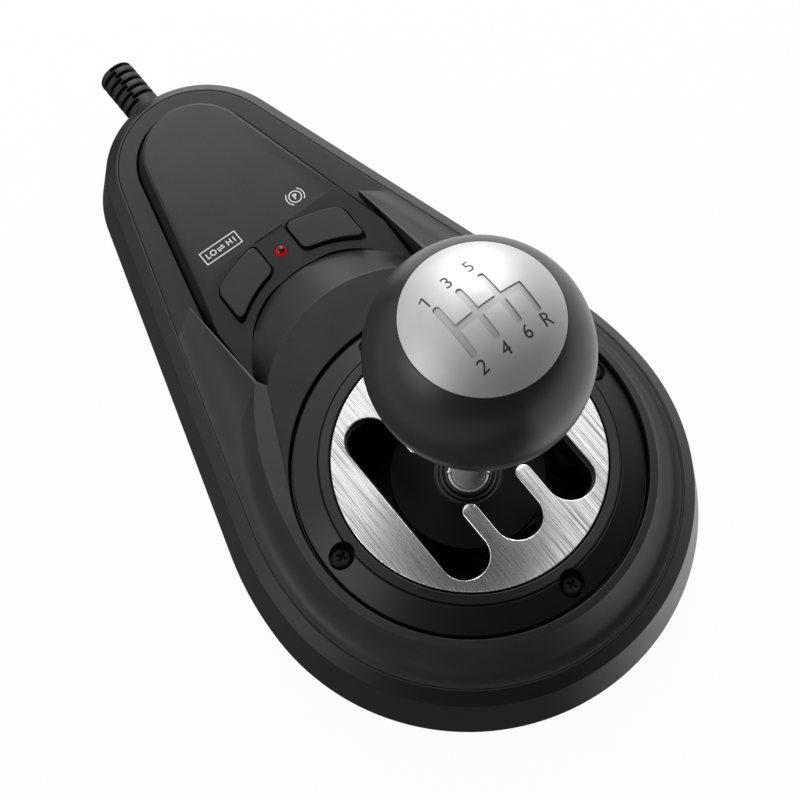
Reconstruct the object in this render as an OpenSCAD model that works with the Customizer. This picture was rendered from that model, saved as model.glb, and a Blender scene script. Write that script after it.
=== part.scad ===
// Sim racing gear shifter: an H-pattern gate and a ball-knob lever on a teardrop base.
// Lengths are in millimetres. A "drop" is a depth below the top face of the gate plate.
// The modules draw about the lever's axis, with the top of the gate plate at height 0.

/* [Base outline] */
// Radius of the skirt's front arc, at its foot
front_r = 58.5; // [57:0.5:62]
// Radius of the skirt's rear arc, at its foot
tail_r = 28.3; // [27.5:0.1:31]
// Distance from the lever's axis back to the centre of the rear arc
tail_reach = 110; // [108:1:122]
// How far the skirt leans in between its foot and its shoulder
skirt_draft = 2.3; // [1.5:0.1:3]
// Width of the sloping shoulder at the top of the skirt
shoulder_w = 2.6; // [2:0.1:3]
// Width of the flat lip between the shoulder and the seam
lip_w = 0.6; // [0.4:0.1:1]
// Drop of the skirt's foot
skirt_drop = 32.4; // [31.5:0.1:34]
// Drop of the shoulder's outer edge
shoulder_drop = 19; // [18.5:0.1:20]
// Drop of the flat rim, where the upper housing meets the skirt
rim_drop = 14.6; // [14:0.1:15]
// Wall of the moulded shells
shell_wall = 2.4; // [2:0.1:2.8]
// Gap between parts that are moulded to fit together
seam_gap = 0.15; // [0.05:0.05:0.3]

/* [Bottom tray] */
// Drop of the tray's underside
tray_drop = 41; // [40.5:0.1:44]
// How far the tray is set back from the foot of the skirt
tray_inset = 4; // [3.6:0.1:4.6]
// Thickness of the tray's floor and walls
tray_wall = 2; // [1.8:0.1:2.4]
// Radius of a rubber foot
foot_r = 7; // [5:0.5:8]
// Height of a rubber foot below the tray
foot_h = 2; // [1:0.1:4]
// Depth of the pocket that holds a rubber foot
foot_pocket = 1; // [0.6:0.1:1.2]
// Spacing of the threaded inserts across the base
insert_pitch_x = 60; // [56:1:62]
// Spacing of the threaded inserts along the base
insert_pitch_y = 60; // [54:1:62]
// Distance of the insert pattern's centre behind the lever's axis
insert_mid_y = 25; // [23:1:28]
// Radius of the tapped hole in an insert
insert_bore_r = 2.5; // [2:0.1:2.8]
// Outside radius of an insert
insert_r = 4; // [3.5:0.1:4.4]
// Length of an insert
insert_len = 6; // [4:0.5:8]

/* [Turret and gate] */
// Outside radius of the turret's top edge
turret_r = 45.2; // [44.6:0.1:46]
// Drop of the turret's top edge
turret_drop = 4.2; // [3.8:0.1:4.8]
// Width of the turret's rim round the bezel
turret_rim = 2.3; // [1.8:0.1:2.6]
// Radius of the gate plate
plate_r = 33; // [32:0.1:33.4]
// Thickness of the gate plate
plate_t = 2; // [1.5:0.1:2.2]
// Distance between neighbouring gate lanes
lane_pitch = 16; // [15.9:0.1:16.3]
// Width of a gate lane
lane_w = 12; // [11.9:0.1:12.4]
// Distance from the lever's axis to the centre of a lane's round end
lane_reach = 18; // [17.9:0.1:18.4]
// Half the width of the neutral passage across the lanes
neutral_half = 8.5; // [7:0.1:9]
// Width of the flat lip inside the bezel
bezel_lip = 2.2; // [1.6:0.1:2.6]
// Thickness of the bezel at its outer edge
bezel_edge_t = 2.6; // [2.2:0.1:3]
// Radius of the bezel screws' circle
bezel_screw_r = 38.2; // [37.8:0.1:39]
// Radius of the recess round a bezel screw's head
bezel_recess_r = 3.15; // [2.9:0.05:3.4]
// Depth of the gate frame's well wall below its flange
well_skirt = 4; // [2:0.5:5]
// Distance from the lever's axis to the point of a fin, across
fin_x = 26.3; // [25.8:0.1:26.8]
// Distance from the lever's axis to the point of a fin, along
fin_tip_y = 45.6; // [45:0.1:46.2]
// Distance from the lever's axis to the tail of a fin
fin_tail_y = 78.4; // [77:0.1:80]

/* [Deck] */
// Drop of the deck panel's top
deck_drop = 9.4; // [9:0.1:10]
// Radius of the deck panel's front arc, if it ran on to the lever's axis
deck_front_r = 44; // [43:0.1:45]
// Radius of the deck panel's rear arc, at its foot
deck_tail_r = 18; // [17:0.1:19]
// How far the deck panel's sides lean in
deck_lean = 3.6; // [3:0.1:4]
// Thickness of the deck panel's top
deck_t = 3.2; // [2.8:0.1:3.4]
// Distance from the lever's axis to the centre of the arcs in front of the buttons
slope_mid_y = 41; // [40:0.5:42]
// Radius of the foot of the slope behind the turret
slope_foot_r = 28; // [27:0.1:28.4]
// Drop of the foot of the slope behind the turret
slope_foot_drop = 11; // [10.6:0.1:11.6]
// Radius of the top of the slope behind the turret
slope_top_r = 36; // [35.6:0.1:37]
// Radius of the buttons' front edges
button_front_r = 31.4; // [30.6:0.1:32]
// Depth of a button from front to back
button_depth = 8.8; // [8:0.1:9.6]
// Distance from the middle to a button's inner edge
button_inner_x = 4.9; // [4.6:0.1:5.4]
// Distance from the middle to a button's outer edge
button_outer_x = 19.4; // [18:0.1:20]
// Radius of a button's corners
button_corner_r = 1.5; // [0.8:0.1:2]
// Gap round a button
button_gap = 0.4; // [0.3:0.05:0.6]
// Travel of a button
button_travel = 0.8; // [0.5:0.1:1]
// Slope of the deck in front of the buttons' rear edges, in degrees
deck_slope = 5; // [3:0.5:6]
// Depth of the step behind the indicator light
step_depth = 1; // [0.6:0.1:1.2]
// Radius of the indicator light
led_r = 1.5; // [1:0.1:1.6]

/* [Lever] */
// Radius of the steel stem
stem_r = 4.15; // [3.9:0.05:4.2]
// Drop of the pivot, where the select and shift axes cross
pivot_drop = 30; // [29.8:0.1:30.6]
// Radius of the ball knob
knob_r = 24.7; // [24.6:0.1:26]
// Height of the ball knob's centre above the gate plate
knob_h = 63.2; // [58:0.1:68]
// Radius of the knob's cap, which carries the ball's curve across its top
cap_r = 17.2; // [15:0.1:19]
// Thickness of the knob's cap at its edge
cap_t = 2; // [1:0.1:3]
// Travel of the stem when it is pressed for reverse
press_travel = 4; // [2:0.5:4.5]
// Length of the press spring when it is fully pressed
spring_solid = 2; // [1.5:0.1:2.4]
// Radius of the shift axle and the select pins
pin_r = 2; // [1.6:0.1:2.2]
// Running clearance of the pins and the stem
running_gap = 0.05; // [0.02:0.01:0.1]
// Radius of the dust plate that hides the works below the gate
dust_r = 19; // [18:0.1:19.2]
// Thickness of the dust plate
dust_t = 1.2; // [0.8:0.1:1.4]
// Height of the dust plate's underside above the pivot
dust_h = 18; // [17.6:0.1:18.2]
// Radius of the ringed collar on the dust plate
collar_r = 8.1; // [7.6:0.1:8.4]
// Height of the ringed collar
collar_h = 1.6; // [1:0.1:1.8]

/* [Strain relief] */
// Radius of the strain relief's sleeve
relief_r = 4.9; // [4.4:0.1:5.4]
// Length of the sleeve that stands out behind the skirt's foot
relief_out = 13.7; // [10:0.1:18]
// Radius of the cable bore
cable_r = 2.2; // [1.5:0.1:2.6]
// Drop of the strain relief's axis
relief_drop = 25; // [24.5:0.1:25.6]
// Number of slots along each side of the sleeve
relief_slots = 5; // [3:1:6]
// Width of one slot
relief_slot_w = 1.3; // [0.8:0.1:1.5]

/* [Hidden] */
$fn = 96;
fine = 32;
eps = 0.01;

relief_end = tail_reach + tail_r + relief_out;
turret_y = (front_r - relief_end) / 2;
plate_z = tray_drop + foot_h;

rim_in = skirt_draft + shoulder_w + lip_w;
rim_r = front_r - rim_in;
rim_tail_r = tail_r - rim_in;
rim_lip = 2.8;
shelf_w = 3;
shelf_t = 2;
tray_lap = 1.4;
tray_top = skirt_drop - tray_lap;
tray_floor = tray_drop - tray_wall;
tray_r = front_r - tray_inset;

barrel_r = turret_r - turret_rim;
bezel_r = barrel_r - 2 * seam_gap;
bezel_bore_r = plate_r + 2 * seam_gap;
bezel_drop = turret_drop + 0.2;
bezel_seat = bezel_drop + bezel_edge_t;
flange_t = 2;
frame_seat = bezel_seat + flange_t;
ledge_t = 2.2;
ledge_w = 7.5;
lane_half = lane_w / 2;
finger_w = lane_pitch - lane_w;
well_wall = 1.6;
bezel_head_drop = bezel_seat - 1.9;
bezel_screw_len = 7;

column_r = 3.4;
column_ring_r = rim_r - 8.3;
column_angles = [-27, 10];
column_foot = tray_floor - 2.5;
column_top = frame_seat + 0.75 * ledge_t;
column_boss_r = column_r + 1.6;
column_tail_x = rim_tail_r - 7.8;
column_tail_y = tail_reach + 2;
screw_r = 1.5;
pilot_r = 1.25;
screw_head_r = 2.75;
screw_head_h = 1.9;
tray_screw_len = 10;

foot_ring_r = tray_r - foot_r - 4.5;
foot_angles = [-62, 30];
foot_tail_out = 10;
foot_tail_y = tail_reach + foot_tail_out;
insert_boss_r = insert_r + 1.8;

sweep_steps = 22;
run_steps = 8;
fin_steps = 12;
flank_steps = 7;
flank_power = 1.6;
fin_edge = 0.4;
crest_w = 0.6;
tail_lap = 3;
seat_lap = 0.5;

button_rear_r = button_front_r + button_depth;
deck_edge_x = fin_x - crest_w - 2 * seam_gap;
deck_arc_r = slope_foot_r + 2 * seam_gap;
deck_under = deck_drop + deck_t;
step_y = slope_mid_y + button_rear_r;
window_x = button_outer_x + 2;
window_front_y = slope_mid_y + deck_arc_r + 1;
window_rear_y = step_y + 2;
button_flange = 1;
button_flange_t = 0.9;
button_play = 0.3;
button_foot_drop = deck_under + button_play + button_flange_t;
button_mid_x = (button_inner_x + button_outer_x) / 2;
button_mid_y = slope_mid_y + (button_front_r + button_rear_r) / 2 - 3.4;
button_post_r = 1.6;
button_post_len = 2.6;
button_post_drop = deck_under + button_post_len;
board_t = 1.6;
button_board_drop = rim_drop + rim_lip + 1.6;
button_board_w = 2 * window_x;
button_board_front = window_front_y - 2;
button_board_rear = window_rear_y + 5;
board_post_y = window_rear_y + 2.4;
board_post_x = window_x - 4;
tact_size = 6;
tact_button_h = 1;
tact_play = 0.4;
tact_body_h = button_board_drop - button_post_drop - button_travel - tact_button_h - tact_play;
tact_button_r = 1.7;
led_y = slope_mid_y + (button_front_r + button_rear_r) / 2 - 1.2;
led_floor = deck_drop + step_depth;
led_body = 4;
led_flange = 0.6;
led_collar = 0.4;
led_leg = 0.5;
led_proud = 0.2;

yoke_half_h = 3.5;
yoke_in_x = 5.6;
yoke_out_x = 9.5;
yoke_in_y = 11.5;
yoke_out_y = 16;
block_half_x = 5.2;
block_half_y = 6;
block_foot_r = 6.6;
block_shoulder_h = 6.5;
block_neck_r = 7;
block_top_h = dust_h;
spring_seat_h = 6;
press_spring_len = press_travel + spring_solid;
stem_foot_h = spring_seat_h + press_spring_len;
spring_wire = 0.7;
spring_play = 0.3;
axle_half = yoke_out_x - 0.2;
bracket_in_y = yoke_out_y + 4.6;
bracket_t = 5.4;
bracket_half_x = 5.4;
bracket_top_h = 5.4;
bracket_foot_x = 14;
bracket_foot_t = 3;
bracket_foot_len = 11.4;
bracket_screw_x = 10.5;
bracket_screw_y = bracket_in_y + 8.4;
bracket_screw_len = bracket_foot_t + 1.6;
torsion_len = 3.8;
torsion_play = 0.4;
torsion_wire = 1.8;
torsion_in_r = pin_r + torsion_play;
torsion_out_r = torsion_in_r + torsion_wire;
pin_end_y = bracket_in_y + bracket_t + torsion_len + 1.2;
pin_start_y = yoke_in_y + 0.8;
ball_r = 1.2;
ball_y = 4.2;
ball_bore_r = ball_r + 0.1;
ball_x = yoke_in_x + ball_r - 0.3;
detent_spring_len = yoke_out_x - ball_x - ball_r - 0.3;
magnet_r = 2;
magnet_t = 1.8;
sensor_w = 8;
sensor_l = 11;
sensor_t = 0.8;
chip_w = 4;
chip_t = 0.6;
collar_rings = 3;

insert_knob_r = 6.5;
insert_knob_len = 20;
knob_flat_h = 22.3;
stem_socket = 18;
stem_top = knob_h - knob_flat_h + stem_socket;
cap_seat = sqrt(knob_r * knob_r - cap_r * cap_r) - cap_t;
cap_gap = 0.05;

main_board_w = 38;
main_board_front = window_front_y - 4;
main_board_room = 4.7;
main_board_len = column_tail_y - column_boss_r - main_board_room - main_board_front;
main_board_drop = tray_floor - 5;
processor_w = main_board_len * 0.28;
processor_t = 1.2;
socket_w = main_board_w * 0.32;
socket_len = main_board_len / 6;
socket_h = 5;
crystal_w = main_board_w * 0.1;
crystal_h = 2.4;
capacitor_r = 2.5;
capacitor_h = 5;
standoff_r = 3;
standoff_in = 4;
board_screw_r = 1.2;
board_screw_grip = 3;
post_screw_grip = 2.4;
board_screw_head_h = 1.4;

relief_flange_x = relief_r + 2;
relief_flange_t = 2.4;
relief_pitch = relief_out / (relief_slots + 0.6);
relief_core_r = cable_r + 1;

// The strain relief's flange fits inside the skirt, between the shelf above it and the band below it
relief_shelf = rim_drop + rim_lip + shelf_t + 0.3;
relief_band = tray_top - shelf_t - 0.2;
relief_seat_r = tail_r - shell_wall - skirt_draft;
relief_seat_y = tail_reach + sqrt(relief_seat_r * relief_seat_r - relief_flange_x * relief_flange_x) - 0.2;

// Teardrop outline: a front arc about the lever's axis and a rear arc, joined by their common tangents
function teardrop(front, tail, reach, steps = 28) =
  let (lean = asin((front - tail) / reach))
  concat(
    [for (i = [0:steps]) let (a = lean + (180 - 2 * lean) * i / steps) [tail * cos(a), reach + tail * sin(a)]],
    [for (i = [0:steps]) let (a = 180 - lean + (180 + 2 * lean) * i / steps) [front * cos(a), front * sin(a)]]);

// The base's outline, moved in by an inset
function outline(inset) = teardrop(front_r - inset, tail_r - inset, tail_reach);

// The deck panel's outline, moved in by an inset
function deck_outline(inset) = teardrop(deck_front_r - inset, deck_tail_r - inset, tail_reach + 1);

// A flat ring of points at a given height
function level(points, z) = [for (p = points) [p[0], p[1], z]];

function mix(a, b, t) = a + (b - a) * t;
function polar(r, a) = [r * cos(a), r * sin(a)];
function curve(a, b, c, t) = mix(mix(a, b, t), mix(b, c, t), t);

// The flank's upper edge leaves the turret on a tangent to the fin's point, then runs down the fin
fin_tip = [fin_x, fin_tip_y];
fin_tail = [fin_x, fin_tail_y];
leave_angle = atan2(fin_tip_y, fin_x) - acos(turret_r / norm(fin_tip));
rim_lean = asin((rim_r - rim_tail_r) / tail_reach);
function rim_line_x(y) = rim_r / cos(rim_lean) - y * tan(rim_lean);
rim_turn_in = 3.6;
rim_turn_y = fin_tip_y - rim_turn_in;
rim_turn = [rim_line_x(rim_turn_y), rim_turn_y];
rim_corner_in = 9.4;
rim_corner_y = fin_tail_y - rim_corner_in;
rim_corner = [rim_line_x(rim_corner_y), rim_corner_y];

// Each station of the flank: its upper point, its lower point and the drop of the upper point
function flank_sweep() = [for (i = [0:sweep_steps]) let (t = i / sweep_steps)
  [polar(turret_r, mix(-90, leave_angle, t)), polar(rim_r, mix(-90, rim_lean, t)), turret_drop]];
function flank_run() = [for (i = [1:run_steps]) let (t = i / run_steps)
  [mix(polar(turret_r, leave_angle), fin_tip, t), mix(polar(rim_r, rim_lean), rim_turn, t), turret_drop]];
function flank_fin() = [for (i = [1:fin_steps]) let (t = i / fin_steps)
  [mix(fin_tip, fin_tail, t), curve(rim_turn, rim_corner, fin_tail + [fin_edge, fin_edge], t),
   mix(turret_drop, rim_drop - fin_edge, t)]];

// The closed section of the flank at one station, on the side given by the sign
function flank_section(station, side) =
  let (top = station[0], foot = station[1], drop = station[2], low = rim_drop + rim_lip)
  let (crest = top + (top - foot) * crest_w / norm(top - foot))
  concat(
    [[side * foot[0], foot[1], -low], [side * crest[0], crest[1], -low], [side * crest[0], crest[1], -drop]],
    [for (j = [flank_steps:-1:0])
      let (v = j / flank_steps, p = mix(foot, top, v))
      [side * p[0], p[1], -mix(rim_drop, drop, pow(v, flank_power))]]);

module turret_frame() translate([0, turret_y, plate_z]) children();

// A solid through stacked rings of points, all with the same number of points
module loft(rings) {
  n = len(rings[0]);
  last = len(rings) - 1;
  sides = [for (k = [0:last - 1], i = [0:n - 1]) let (a = k * n + i, b = k * n + (i + 1) % n)
    each [[a, a + n, b + n], [a, b + n, b]]];
  polyhedron(
    points = [for (ring = rings) each ring],
    faces = concat([[for (i = [0:n - 1]) i]], sides, [[for (i = [n - 1:-1:0]) last * n + i]]));
}

// A prism of an outline between two drops
module prism(points, low_drop, high_drop)
  translate([0, 0, -low_drop]) linear_extrude(low_drop - high_drop) polygon(points);

// A wall that follows the base, between two insets and two drops
module base_band(outer_inset, inner_inset, low_drop, high_drop)
  difference() {
    prism(outline(outer_inset), low_drop, high_drop);
    prism(outline(inner_inset), low_drop + 1, high_drop - 1);
  }

// A cylinder standing between two drops
module post(r, low_drop, high_drop, at = [0, 0])
  translate([at[0], at[1], -low_drop]) cylinder(r = r, h = low_drop - high_drop);

module along_x(x0, x1, r, y = 0, z = 0)
  translate([x0, y, z]) rotate([0, 90, 0]) cylinder(r = r, h = x1 - x0);

module along_y(y0, y1, r, x = 0, z = 0)
  translate([x, y1, z]) rotate([90, 0, 0]) cylinder(r = r, h = y1 - y0);

module both_sides() {
  children();
  mirror([1, 0, 0]) children();
}

module fore_and_aft() {
  children();
  mirror([0, 1, 0]) children();
}

// A pan-head screw with its head upwards, its seat at height 0 and a cross in its head
module pan_screw(shank_r, len, head_r, head_h) {
  slot = head_r * 0.36;
  difference() {
    union() {
      cylinder(r = head_r, h = head_h);
      translate([0, 0, -len]) cylinder(r = shank_r, h = len + eps);
    }
    for (turn = [0, 90]) rotate(turn)
      translate([-head_r * 0.62, -slot / 2, head_h * 0.45]) cube([head_r * 1.24, slot, head_h]);
  }
}

function column_places() = concat(
  [for (a = column_angles, s = [-1, 1]) [s * column_ring_r * cos(a), column_ring_r * sin(a)]],
  [for (s = [-1, 1]) [s * column_tail_x, column_tail_y]]);
function foot_places() = concat(
  [for (a = foot_angles, s = [-1, 1]) [s * foot_ring_r * cos(a), foot_ring_r * sin(a)]],
  [[0, foot_tail_y]]);
function insert_places() = [for (sx = [-1, 1], sy = [-1, 1])
  [sx * insert_pitch_x / 2, insert_mid_y + sy * insert_pitch_y / 2]];
function bezel_screw_places() = [for (i = [0:3]) polar(bezel_screw_r, 90 * i)];
function board_screw_places() = [for (sx = [-1, 1], far = [0, 1])
  [sx * (main_board_w / 2 - standoff_in),
   main_board_front + mix(standoff_in, main_board_len - standoff_in, far)]];
function board_post_places() = [for (s = [-1, 1]) [s * board_post_x, board_post_y]];

module skirt_shell() color("#2a2a2b") turret_frame() {
  difference() {
    loft([
      level(outline(0), -skirt_drop),
      level(outline(skirt_draft - 0.2), -shoulder_drop - 0.6),
      level(outline(skirt_draft + 0.3), -shoulder_drop),
      level(outline(skirt_draft + shoulder_w), -rim_drop)]);
    loft([
      level(outline(shell_wall - skirt_draft * 0.1), -skirt_drop - 1),
      level(outline(shell_wall + skirt_draft), -rim_drop - rim_lip - shelf_t)]);
    prism(outline(rim_in + shelf_w), rim_drop + rim_lip + shelf_t + 1, 0);
    prism(outline(rim_in - seam_gap), rim_drop + rim_lip, 0);
    relief_hole();
  }
  difference() {
    base_band(shell_wall * 0.7, tray_inset + tray_wall + 0.2, tray_top, tray_top - shelf_t);
    relief_hole();
  }
}

// The round hole that the strain relief passes through
module relief_hole()
  along_y(tail_reach, relief_end, relief_r + running_gap, 0, -relief_drop);

// The top of the turret behind the gate, and the slope that falls from it to the deck
module turret_tail(inset) {
  side_x = fin_x - crest_w / 2 - inset;
  hull() {
    translate([0, 0, -turret_drop - inset - crest_w]) linear_extrude(crest_w) tail_top(side_x, inset);
    translate([0, 0, -rim_drop - seat_lap - inset])
      linear_extrude(rim_drop + seat_lap - slope_foot_drop) tail_foot(side_x, inset);
  }
}

// Behind the turret's axis the slope's top arc is centred so that it ends at the fins' points
module tail_top(side_x, inset) {
  mid_y = fin_tip_y - sqrt(slope_top_r * slope_top_r - fin_x * fin_x);
  start = polar(turret_r - crest_w * 0.9, leave_angle) - polar(tail_lap, leave_angle + 90);
  end_a = acos(side_x / (slope_top_r - inset));
  polygon(concat(
    [[-start[0] + inset, start[1]], [start[0] - inset, start[1]]],
    [for (i = [0:fine / 2])
      [0, mid_y] + polar(slope_top_r - inset, mix(end_a, 180 - end_a, i * 2 / fine))]));
}

module tail_foot(side_x, inset) {
  start = polar(turret_r, leave_angle);
  end_a = acos(side_x / (slope_foot_r - inset));
  polygon(concat(
    [[-side_x, start[1]], [side_x, start[1]]],
    [for (i = [0:fine / 2])
      [0, slope_mid_y] + polar(slope_foot_r - inset, mix(end_a, 180 - end_a, i * 2 / fine))]));
}

module upper_housing() color("#3a3a3b") turret_frame() {
  right = concat(flank_sweep(), flank_run(), flank_fin());
  count = len(right);
  rings = concat(
    [for (i = [count - 1:-1:1]) flank_section(right[i], -1)],
    [for (station = right) flank_section(station, 1)]);
  difference() {
    union() {
      loft(rings);
      difference() {
        turret_tail(0);
        turret_tail(shell_wall);
        post(barrel_r, rim_drop + rim_lip, -1);
      }
      post(turret_r - crest_w / 2, rim_drop + rim_lip, turret_drop);
      difference() {
        prism(outline(rim_in), rim_drop + rim_lip, rim_drop);
        translate([-front_r, -front_r, -rim_drop - rim_lip - 1])
          cube([2 * front_r, front_r + rim_turn_y, rim_lip + 2]);
      }
      for (at = board_post_places()) post(standoff_r, button_board_drop, rim_drop + eps, at);
    }
    post(barrel_r, frame_seat, -1);
    post(barrel_r - ledge_w, tray_drop, -1);
    post(barrel_r, rim_drop + rim_lip + 1, frame_seat + ledge_t);
    translate([-window_x, window_front_y, -rim_drop - rim_lip - 1])
      cube([2 * window_x, window_rear_y - window_front_y, rim_lip + 2]);
    for (at = column_places()) post(pilot_r, column_foot + 1, column_foot - tray_screw_len, at);
    for (at = board_post_places()) post(board_screw_r, button_board_drop + 1, rim_drop + 0.8, at);
    for (at = bezel_screw_places()) post(pilot_r, frame_seat + ledge_t + 1, frame_seat - 1, at);
  }
  for (at = column_places()) difference() {
    post(column_r, column_foot, at[1] > fin_tail_y ? rim_drop + rim_lip / 2 : column_top, at);
    post(pilot_r, column_foot + 1, column_foot - tray_screw_len, at);
  }
}

// The outline of a button, on the side given by the sign
module button_shape(side, grow = 0)
  offset(r = button_corner_r + grow, $fn = fine) offset(delta = -button_corner_r)
    intersection() {
      translate([0, slope_mid_y]) difference() {
        circle(button_rear_r);
        circle(button_front_r);
      }
      translate([side > 0 ? button_inner_x : -button_outer_x, slope_mid_y])
        square([button_outer_x - button_inner_x, button_rear_r]);
    }

module deck_panel() color("#434344") turret_frame()
  difference() {
    intersection() {
      loft([
        level(deck_outline(0), -rim_drop),
        level(deck_outline(deck_lean - 0.2), -deck_drop - 0.3),
        level(deck_outline(deck_lean + 0.2), -deck_drop)]);
      translate([-deck_edge_x, slope_mid_y, -rim_drop]) cube([2 * deck_edge_x, tail_reach, rim_drop]);
    }
    post(deck_arc_r, rim_drop + 1, -1, [0, slope_mid_y]);
    loft([
      level(deck_outline(shell_wall), -rim_drop - 1),
      level(deck_outline(deck_lean + shell_wall), -deck_under)]);
    translate([0, step_y, -deck_drop]) rotate([deck_slope, 0, 0])
      translate([-front_r, -tail_reach, 0]) cube([2 * front_r, tail_reach, rim_drop]);
    translate([-button_inner_x + button_gap, slope_mid_y, -led_floor])
      cube([2 * (button_inner_x - button_gap), button_rear_r, rim_drop]);
    for (side = [-1, 1])
      translate([0, 0, -rim_drop]) linear_extrude(rim_drop) button_shape(side, button_gap);
    post(led_r + seam_gap, rim_drop, 0, [0, led_y]);
  }

module deck_button(side) turret_frame() {
  translate([0, 0, -button_foot_drop]) {
    linear_extrude(button_foot_drop - deck_drop) button_shape(side);
    linear_extrude(button_flange_t) button_shape(side, button_flange);
  }
  post(button_post_r, button_post_drop, deck_under, [side * button_mid_x, button_mid_y]);
}

module range_button() color("#3d3d3e") deck_button(-1);

module brake_button() color("#3d3d3e") deck_button(1);

module button_board() color("#1f5a36") turret_frame()
  difference() {
    translate([-button_board_w / 2, button_board_front, -button_board_drop - board_t])
      cube([button_board_w, button_board_rear - button_board_front, board_t]);
    for (at = board_post_places())
      post(board_screw_r + 0.1, button_board_drop + board_t + 1, button_board_drop - 1, at);
  }

module button_board_screws() color("silver") turret_frame()
  for (at = board_post_places())
    translate([at[0], at[1], -button_board_drop - board_t]) mirror([0, 0, 1])
      pan_screw(board_screw_r, board_t + post_screw_grip, 2 * board_screw_r, board_screw_head_h);

module tact_switches() color("#222222") turret_frame()
  for (side = [-1, 1]) translate([side * button_mid_x, button_mid_y, -button_board_drop]) {
    translate([-tact_size / 2, -tact_size / 2, 0]) cube([tact_size, tact_size, tact_body_h]);
    cylinder(r = tact_button_r, h = tact_body_h + tact_button_h);
  }

module indicator_light() color("#c01818") turret_frame() translate([0, led_y, 0]) {
  post(led_r, led_floor + led_body, led_floor - led_proud);
  intersection() {
    translate([0, 0, -led_floor + led_proud]) sphere(led_r);
    post(led_r, led_floor - led_proud, led_floor - 2 * led_r);
  }
  post(led_r + led_collar, led_floor + led_body + led_flange, led_floor + led_body - led_collar);
  for (side = [-1, 1]) translate([side * led_r / 2 - led_leg / 2, -led_leg / 2, -button_board_drop])
    cube([led_leg, led_leg, button_board_drop - led_floor - led_body]);
}

module bottom_tray() color("#262627") turret_frame()
  difference() {
    union() {
      base_band(tray_inset, tray_inset + tray_wall, tray_drop, tray_top);
      prism(outline(tray_inset), tray_drop, tray_floor);
      for (at = column_places()) post(column_boss_r, tray_drop, column_foot, at);
      for (at = insert_places()) post(insert_boss_r, tray_drop, tray_drop - insert_len, at);
      for (at = board_screw_places()) post(standoff_r, tray_drop, main_board_drop, at);
    }
    for (at = column_places()) {
      post(screw_r + 0.15, tray_drop + 1, column_foot - 1, at);
      post(screw_head_r + 0.3, tray_drop + 1, tray_drop - screw_head_h - 0.2, at);
    }
    for (at = foot_places()) post(foot_r + seam_gap, tray_drop + 1, tray_drop - foot_pocket, at);
    for (at = insert_places()) post(insert_r, tray_drop + 1, 0, at);
    for (at = board_screw_places()) post(board_screw_r, main_board_drop + 4, main_board_drop - 1, at);
    for (sx = [-1, 1], sy = [-1, 1])
      post(pilot_r, tray_floor + 1.6, tray_floor - 1, [sx * bracket_screw_x, sy * bracket_screw_y]);
  }

module rubber_feet() color("#151515") turret_frame()
  for (at = foot_places()) post(foot_r, tray_drop + foot_h, tray_drop - foot_pocket, at);

module tray_screws() color("silver") turret_frame()
  for (at = column_places()) translate([at[0], at[1], -tray_drop + screw_head_h + 0.2]) mirror([0, 0, 1])
    pan_screw(pilot_r, tray_screw_len, screw_head_r, screw_head_h);

module threaded_inserts() color("goldenrod") turret_frame()
  for (at = insert_places()) difference() {
    post(insert_r, tray_drop, tray_drop - insert_len, at);
    post(insert_bore_r, tray_drop + 1, 0, at);
  }

// The gate's opening: three lanes and the neutral passage, with a round-ended finger between lanes
module gate_slots()
  difference() {
    union() {
      for (lane = [-1:1]) translate([lane * lane_pitch, 0]) {
        square([lane_w, 2 * lane_reach], center = true);
        for (way = [-1, 1]) translate([0, way * lane_reach]) circle(lane_half);
      }
      square([2 * lane_pitch, 2 * neutral_half + finger_w], center = true);
    }
    for (side = [-1, 1], way = [-1, 1])
      translate([side * lane_pitch / 2, way * (neutral_half + finger_w / 2)]) {
        circle(finger_w / 2);
        translate([-finger_w / 2, way > 0 ? 0 : -lane_reach]) square([finger_w, lane_reach]);
      }
  }

// The well under the gate: the outline round all the lanes
module well_shape(grow = 0) {
  half_x = lane_pitch + lane_half + grow;
  half_y = lane_reach + lane_half + grow;
  square([2 * half_x, 2 * lane_reach], center = true);
  square([2 * lane_pitch, 2 * half_y], center = true);
  for (sx = [-1, 1], sy = [-1, 1]) translate([sx * lane_pitch, sy * lane_reach]) circle(lane_half + grow);
}

module gate_plate() color("#c9cacc") turret_frame()
  translate([0, 0, -plate_t]) linear_extrude(plate_t) difference() {
    circle(plate_r);
    gate_slots();
  }

module gate_frame() color("#1b1b1c") turret_frame()
  difference() {
    union() {
      post(bezel_r, frame_seat, bezel_seat);
      post(plate_r, bezel_seat + eps, plate_t);
      translate([0, 0, -frame_seat - well_skirt]) linear_extrude(well_skirt + eps) well_shape(well_wall);
    }
    translate([0, 0, -tray_drop]) linear_extrude(tray_drop) well_shape();
    for (at = bezel_screw_places()) post(screw_r + 0.1, frame_seat + 1, bezel_seat - 1, at);
  }

module bezel_ring() color("#202021") turret_frame()
  difference() {
    rotate_extrude() polygon([
      [bezel_bore_r, -bezel_seat], [bezel_r, -bezel_seat],
      [bezel_r, -bezel_drop - 0.3], [bezel_r - 0.3, -bezel_drop],
      [bezel_bore_r + bezel_lip, -0.9], [bezel_bore_r + bezel_lip - 0.5, -0.2], [bezel_bore_r, -0.2]]);
    for (at = bezel_screw_places()) {
      post(screw_r + 0.1, bezel_seat + 1, 0, at);
      post(bezel_recess_r, bezel_head_drop, -1, at);
    }
  }

module bezel_screws() color("#333333") turret_frame()
  for (at = bezel_screw_places()) translate([at[0], at[1], -bezel_head_drop])
    pan_screw(pilot_r, bezel_screw_len, screw_head_r, screw_head_h);

module pivot_frame() turret_frame() translate([0, 0, -pivot_drop]) children();

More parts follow.
